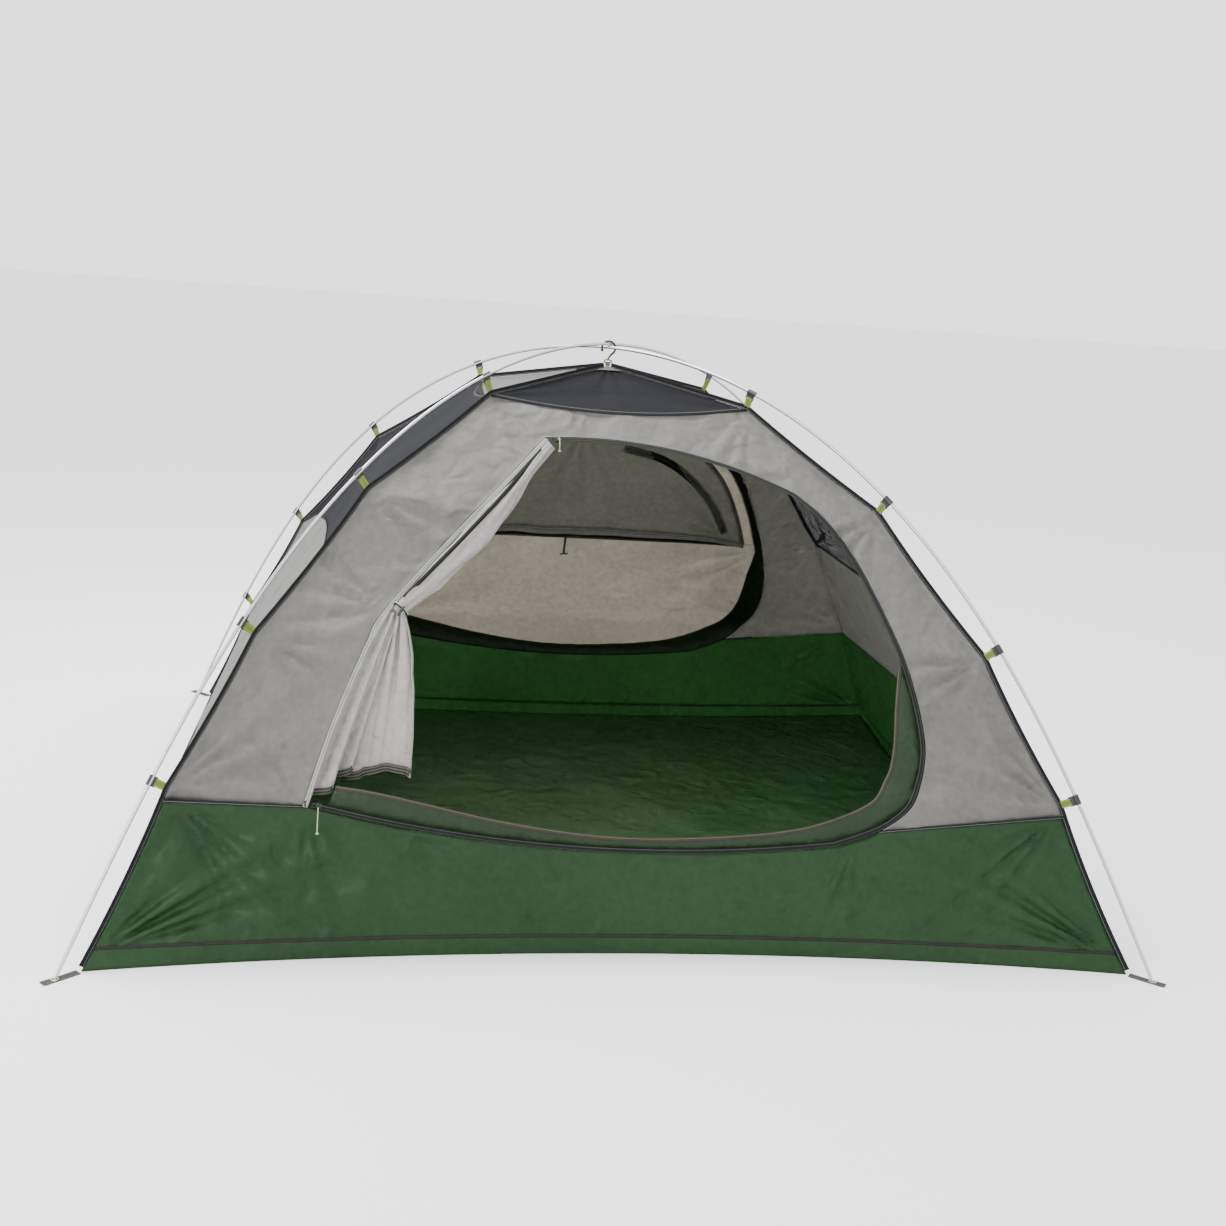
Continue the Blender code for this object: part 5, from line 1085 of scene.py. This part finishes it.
def between(first, second, count, side, depth=0.0, crown=0.0):
    """A grid between two paths of x and height on an end wall, with its middle standing proud."""
    share = np.linspace(0, 1, count)[:, None, None]
    plan = first * (1 - share) + second * share
    proud = crown * 4 * share[..., 0] * (1 - share[..., 0])
    out = side * (zip_depth(plan[..., 0], plan[..., 1]) - depth + proud)
    return np.stack([plan[..., 0], out, plan[..., 1]], axis=-1)


def trimmed(path, length, count):
    """A path with a length cut off both ends."""
    fine = resampled(path, 2000)
    skip = int(length / np.linalg.norm(fine[1] - fine[0]))
    return resampled(fine[skip:-skip], count)


for side_name, side, close, far, trim, depth in (("front", -1, ZIP_GAP, 0.014, 0.019, 0.0),
                                                 ("rear", 1, -0.006, 0.022, 0.002, 0.0016)):
    first, second = (trimmed(door_edge(inset), trim, 330) for inset in (close, far))
    band = between(first, second, 5, side, depth, 0.0006)
    tape = cloth("zip_" + side_name, band, zip_tape, (0, side, 0), 0.0010)
    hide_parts(side_name + "_door_zip")
    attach(tape, "tent_body")
    line = on_wall(trimmed(door_edge(far - 0.0012 if side < 0 else 0.012), trim, 330), side)
    teeth = ring_tube("zip_teeth_" + side_name, line + [0, side * 0.0010, 0], 0.0014, coil, 6, closed=False)
    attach(teeth, "tent_body")

    inner = resampled(smooth_path(FLAP_INNER, 8), 200)
    curve = door_edge(ZIP_GAP)
    first, last = (np.argmin(np.linalg.norm(curve - end, axis=1)) for end in inner[[0, -1]])
    outer = resampled(curve[first:last + 1], 200)
    flap = between(outer, inner, 16, side, FLAP_DEPTH if side < 0 else 0.020, 0.004)
    u = np.linspace(0, 2.2, 200)[None] + 0 * flap[..., 0]
    v = np.linspace(0, 0.08, 16)[:, None] + 0 * u
    flap = stand_off(flap, creases(u, v, 51, 0.06, 0.0016), np.array([0, side, 0]))
    panel = cloth("storm_flap_" + side_name, flap, flap_cloth, (0, side, 0))
    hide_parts(side_name + "_storm_flap")
    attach(panel, "tent_body")
    rim = ribbon("flap_binding_" + side_name, flap[-1], flap[-2] - flap[-1],
                 flap_binding if side < 0 else edge_tape, 0.010, 0.0008)
    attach(rim, "tent_body")

slider_metal, tree, shader = new_material("slider_metal", Metallic=0.6)
chips = noise(tree, tree.nodes.new("ShaderNodeTexCoord"), Scale=420.0, Detail=6.0)
tree.links.new(ramped(tree, chips, (0.015, 0.015, 0.015), (0.20, 0.20, 0.20), 0.60, 0.72),
               shader.inputs["Base Color"])
tree.links.new(ranged(tree, chips, 0.25, 0.5), shader.inputs["Roughness"])
for end in ("top", "lower"):
    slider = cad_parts["front_zip_slider_" + end]
    slider.data.materials.clear()
    slider.data.materials.append(slider_metal)


# Front door, tied open: the door's cloth rolled up along its hinge edge as a crumpled bundle, a
# tie round it at the height of the second clip, and the rest hanging below as a pleated tail.

ROLL_HALF_WIDTHS = np.array([0.012, 0.016, 0.028, 0.034, 0.032, 0.024, 0.016])
ROLL_GAP = 0.010
TAIL_BOTTOM = np.array([-0.597, -0.868, 0.385])
TAIL_HALF_WIDTHS = np.array([0.016, 0.028, 0.046, 0.060, 0.072, 0.078])
door_cloth = woven("door_cloth", (0.40, 0.385, 0.365), (0.33, 0.315, 0.298), 0.5, 0.009, 0.035, through=0.25,
                   sheen=0.2)
band_tape = tape_material("band_tape", (0.030, 0.029, 0.026), (0.20, 0.19, 0.17),
                          rows=(0.003, 0.0045, 0.0105, 0.012, 0.0175, 0.019), rib=0.0016)
hinge_down = smooth_path(HINGE_PULLED[::-1], 16)
hinge_down = hinge_down[hinge_down[:, 1] > 0.768]
along = resampled(hinge_down, 160)
ahead = np.gradient(along, axis=0)
ahead /= np.linalg.norm(ahead, axis=1)[:, None]
share = np.linspace(0, 1, 160)
half = np.interp(share, np.arange(7) / 6, ROLL_HALF_WIDTHS)
half = np.convolve(np.pad(half, 8, mode="edge"), np.ones(17) / 17, "valid")
centre = along + np.stack([-ahead[:, 1], ahead[:, 0]], axis=1) * (half + ROLL_GAP)[:, None]
middle = np.stack([centre[:, 0], -wall_depth(centre[:, 0], centre[:, 1]), centre[:, 1]], axis=1)
turn = np.linspace(0, 2 * np.pi, 96, endpoint=False)
s, a = np.meshgrid(share, turn, indexing="ij")
lobes = (1 + 0.13 * np.cos(3 * a + 5 * s + 0.6) + 0.09 * np.cos(5 * a - 9 * s) + 0.05 * np.cos(8 * a + 14 * s)
         - 0.10 * np.abs(np.sin(2.5 * a + 7 * s)) ** 0.6)
lobes += creases(a * 0.04, s * 0.45, 61, 0.035, 1.0) * 0.10
across = np.stack([-ahead[:, 1], 0 * share, ahead[:, 0]], axis=1)
radius = half[:, None] * np.clip(lobes, 0.6, 1.2)
roll = (middle[:, None] + (radius * np.cos(a))[..., None] * across[:, None]
        + (0.75 * radius * np.sin(a))[..., None] * np.array([0, -1, 0]))
caps = [np.repeat(roll[i].mean(axis=0)[None, None], 96, axis=1) for i in (0, -1)]
bundle = cloth("door_roll", np.vstack([caps[0], roll, caps[1]]), door_cloth,
               lambda p: p - p.mean(axis=1, keepdims=True), 0, wrap=True)
seal(bundle)
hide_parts("front_door")
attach(bundle, "tent_body")
tie_point = middle[-1]

v, u = np.meshgrid(np.linspace(0, 1, 130), np.linspace(-1, 1, 120), indexing="ij")
half = np.interp(v, [0, 0.09, 0.26, 0.48, 0.74, 1], TAIL_HALF_WIDTHS)
pleat = np.interp(v, [0, 0.2, 0.6, 1], [0.005, 0.008, 0.0045, 0.0028])
wave = np.cos(u * 8.6 + 0.5 + 0.9 * np.sin(2.2 * u + v)) + 0.4 * np.cos(17 * u + 2.4 * v)
wave = np.sign(wave) * np.abs(wave) ** 0.7
line = tie_point + (TAIL_BOTTOM - tie_point) * v[..., None]
tail = line + np.stack([half * (u + 0.05 * np.sin(9 * u + 1)), -pleat * wave * (1 - 0.3 * u**2),
                        0.012 * np.sin(2.5 * u + 0.8) * v], axis=-1)
tail = stand_off(tail, creases(u * 0.1, v * 0.4, 63, 0.05, 0.0022), np.array([0, -1, 0]))
tail_cloth = woven("tail_cloth", (0.42, 0.385, 0.36), (0.36, 0.33, 0.31), 0.5, 0.007, 0.035, through=0.2,
                   sheen=0.2)
panel = cloth("door_tail", tail, tail_cloth, (0, -1, 0), 0.0024)
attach(panel, "tent_body")
hem = ribbon("door_tail_hem", tail[-1] + [0, -0.0008, 0.011], (0, 0, 1), band_tape, 0.022, 0.0008)
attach(hem, "tent_body")
for edge_name, column in (("left", 0), ("right", -1)):
    rim = ribbon("door_tail_edge_" + edge_name, tail[:, column] + [0, -0.0006, 0], (1, 0, 0), hem_tape,
                 0.006, 0.0006)
    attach(rim, "tent_body")

low_hinge = offset_path(smooth_path(HINGE_PULLED[3::-1], 12), -0.004)
low_hinge = resampled(low_hinge, 90)
sewn = np.stack([low_hinge[:, 0], -zip_depth(low_hinge[:, 0], low_hinge[:, 1]), low_hinge[:, 1]], axis=1)
free_end = np.array([-0.655, -0.872, 0.405])
free = np.linspace(tie_point + (TAIL_BOTTOM - tie_point) * 0.05, free_end, 90)
u, v = np.meshgrid(np.linspace(0, 1, 60), np.linspace(0, 1, 90), indexing="ij")
curtain = sewn * (1 - u)[..., None] + free * u[..., None]
swag = 0.017 * np.sin(u * 13 + v * 2.0) * np.sin(np.pi * u) ** 0.6 * (0.35 + 0.65 * v)
curtain = stand_off(curtain, swag + creases(u * 0.15, v * 0.4, 65, 0.05, 0.0022) * np.sin(np.pi * u),
                    np.array([0, -1, 0]))
panel = cloth("door_curtain", curtain, door_cloth, (0, -1, 0), 0.0010)
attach(panel, "tent_body")
hem = ribbon("door_curtain_hem", curtain[:, -1] + [0, -0.0008, 0.006], (0, 0, 1), band_tape,
             0.018, 0.0008)
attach(hem, "tent_body")

part = slice(8, 150)
bundle_half = np.interp(share[part], np.arange(7) / 6, ROLL_HALF_WIDTHS)[:, None]
rolled_zip = (middle[part] + np.array([0, -1, 0]) * (0.75 * bundle_half * 1.05 + 0.002)
              - across[part] * (bundle_half * 0.75) + np.array([0, 0.010, 0]))
zip_along = ribbon("door_roll_zip", rolled_zip, across[part], zip_tape, 0.010, 0.0010)
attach(zip_along, "tent_body")

tie_at = tie_point + (middle[-12] - tie_point) / np.linalg.norm(middle[-12] - tie_point) * 0.010
down_roll = (middle[-1] - middle[-12]) / np.linalg.norm(middle[-1] - middle[-12])
tie_across = np.cross(down_roll, [0, -1, 0])
tie_across /= np.linalg.norm(tie_across)
tie_out = np.cross(tie_across, down_roll)
sweep = np.linspace(0, 2 * np.pi, 60, endpoint=False)
for name, lift, size in (("tie_band_upper", -0.0016, 0.0016), ("tie_band_lower", 0.0016, 0.0016)):
    loop = (tie_at + down_roll * lift + np.cos(sweep)[:, None] * tie_across * 0.0205
            + np.sin(sweep)[:, None] * tie_out * 0.0165)
    band = ring_tube(name, loop, size, pull_green if lift < 0 else edge_tape, 10)
    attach(band, "tent_body")
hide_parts("front_door_tie")
bar_at = tie_at + np.array([0, -0.0205, 0])
reach = np.linspace(-0.014, 0.014, 24)
round_end = np.sqrt(np.clip(1 - (np.abs(reach) / 0.0142) ** 6, 0.01, 1))
bar = ring_tube("tie_toggle", bar_at + reach[:, None] * np.array([0.5, 0, 0.87]), 0.003 * round_end, moulded,
                14, closed=False)
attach(bar, "tent_body")


# Rear door, zipped shut: a grey cloth panel whose upper half is a see-through window with its
# own zipped cover edge, and a toggle that hangs inside it from the sill.

WINDOW_SILL = 0.695
WINDOW_MARGIN = 0.040
WINDOW_ZIP = np.array([[0.150, 1.052], [0.290, 1.012], [0.400, 0.945], [0.490, 0.855], [0.560, 0.745]])
rear_cloth = woven("rear_door_cloth", (0.46, 0.425, 0.365), (0.38, 0.352, 0.305), 0.6, 0.012, 0.055,
                   through=0.5)
window_cloth = woven("window_cloth", (0.25, 0.245, 0.215), (0.20, 0.196, 0.172), 0.6, 0.007, 0.05,
                     through=0.5)
rear_edge = door_edge(0.018)
turning = rear_edge[:, 0].argmax()
upper_edge = np.vstack([hinge_rear + [0.001, 0], rear_edge[6:turning + 1]])
lower_edge = rear_edge[turning:][::-1]
widest = rear_edge[turning, 0]
x = -0.761 + (widest - 0.001 + 0.761) * (1 - np.cos(np.linspace(0, np.pi, 200))) / 2
high = np.interp(x, upper_edge[:, 0], upper_edge[:, 1])
lower_edge = np.vstack([HINGE_FOOT, lower_edge[np.argsort(lower_edge[:, 0])]])
low = np.interp(x, lower_edge[:, 0], lower_edge[:, 1])
low = np.minimum(low, high - 0.002)
top = np.minimum(high, WINDOW_SILL)
v = np.linspace(0, 1, 90)[:, None]
z = low + (top - low) * v
x = x + 0 * z
calm = fade(v, 0.22) * fade(1 - v, 0.05) * fade(0.70 - x, 0.14) * fade(x + 0.72, 0.1)
fans = [(-0.76, 0.35, 20, 45, 0.45, 0.008, 2.6), (0.69, 0.40, 150, 45, 0.35, 0.007, 2.4),
        (0.70, 0.68, 200, 45, 0.35, 0.007, 2.4), (-0.52, 0.69, -30, 50, 0.3, 0.006, 2.4)]
folds = pulls(x, z, fans) + creases(x, z, 71, 0.16, 0.0060) + creases(x, z, 72, 0.05, 0.0022)
lower = np.stack([x, zip_depth(x, z) - 0.003, z], axis=-1)
lower = stand_off(lower, (folds - 0.002) * calm, np.array([0, 1, 0]))
panel = cloth("rear_door_lower", lower, rear_cloth, (0, 1, 0))
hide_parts("rear_door")
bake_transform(panel)


def window_path(inset):
    """The window's edge: up the hinge side, over the top, and down to the sill on the right."""
    outline = door_edge(0.018 + inset)
    outline = outline[:outline[:, 0].argmax()]
    outline = outline[(outline[:, 1] > WINDOW_SILL) & (outline[:, 0] > -0.19 + inset)]
    slope = (HINGE_TOP - HINGE_FOOT) / np.linalg.norm(HINGE_TOP - HINGE_FOOT)
    start = HINGE_FOOT + slope * (WINDOW_SILL - HINGE_FOOT[1]) / slope[1] + [0.001 + inset / slope[1], 0]
    climb = (outline[0, 1] - WINDOW_SILL) / slope[1] * 0.98
    hinge = start + slope * np.linspace(0, climb, 40)[:, None]
    hinge = hinge[hinge[:, 0] < outline[0, 0] - 0.006]
    foot = [outline[-1, 0] + 0.001, WINDOW_SILL]
    return resampled(np.vstack([hinge, outline, [foot]]), 300)


border = between(window_path(0.0), window_path(WINDOW_MARGIN + 0.008), 14, 1, 0.003, 0.0015)
border = stand_off(border, creases(border[..., 0], border[..., 2], 74, 0.05, 0.0012), np.array([0, 1, 0]))
panel = cloth("rear_door_border", border, rear_cloth, (0, 1, 0))
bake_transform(panel)

opening = window_path(WINDOW_MARGIN - 0.006)
x = np.linspace(opening[0, 0] + 0.001, opening[-1, 0] - 0.001, 160)
order = np.argsort(opening[:, 0])
high = np.interp(x, opening[order, 0], opening[order, 1])
v = np.linspace(0, 1, 90)[:, None]
z = (WINDOW_SILL - 0.004) + (high - WINDOW_SILL + 0.004) * v
x = x + 0 * z
calm = fade(v, 0.05) * fade(1 - v, 0.22) * fade(x[0, -1] - x, 0.10) * fade(x - x[0, 0], 0.10)
fans = [(-0.5, 0.70, 30, 50, 0.3, 0.006, 2.4), (0.55, 0.72, 150, 50, 0.3, 0.006, 2.4),
        (0, 1.1, -90, 60, 0.3, 0.005, 3)]
pane = np.stack([x, wall_depth(x, z) - 0.0060, z], axis=-1)
pane = stand_off(pane, (pulls(x, z, fans) + creases(x, z, 75, 0.14, 0.0030)) * calm, np.array([0, 1, 0]))
panel = cloth("rear_window", pane, window_cloth, (0, 1, 0), 0.0006)
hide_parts("rear_window_mesh")
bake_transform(panel)

sill = pane[2] + [0, -0.0012, 0]
tape = ribbon("window_sill", sill, (0, 0, 1), edge_tape, 0.012, -0.0008)
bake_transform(tape)
tape = ribbon("window_hem", pane[8] + [0, -0.0010, 0], (0, 0, 1), hem_tape, 0.022, -0.0008)
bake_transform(tape)

zip_line = resampled(smooth_path(WINDOW_ZIP, 10), 120)
band = between(zip_line, offset_path(zip_line, 0.026), 7, 1, 0.006, 0.0006)
tape = cloth("window_zip", band, zip_tape, (0, -1, 0), 0.0010)
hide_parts("rear_window_zip")
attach(tape, "rear_door")
line = on_wall(offset_path(zip_line, 0.013), 1, 0.0075)
teeth = ring_tube("window_zip_teeth", line, 0.0016, coil, 6, closed=False)
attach(teeth, "rear_door")

strap_at = np.array([0, 0.79584, WINDOW_SILL])
drop = np.linspace(0, 0.060, 30)
hang = strap_at + np.stack([-0.004 * np.sin(drop * 26), 0 * drop, -drop], axis=1)
strap = ribbon("toggle_strap", hang, (1, 0, 0), dark_web, 0.008, 0.0)
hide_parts("rear_window_toggle")
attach(strap, "rear_window_toggle")
reach = np.linspace(-0.015, 0.015, 30)
round_end = np.sqrt(np.clip(1 - (np.abs(reach) / 0.0152) ** 8, 0.01, 1))
waisted = round_end * (1 - 0.18 * np.exp(-(reach / 0.004) ** 2))
bar = ring_tube("toggle_bar", hang[-1] + reach[:, None] * np.array([1.0, 0, 0.1]), 0.0026 * waisted, moulded,
                14, closed=False)
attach(bar, "rear_window_toggle")
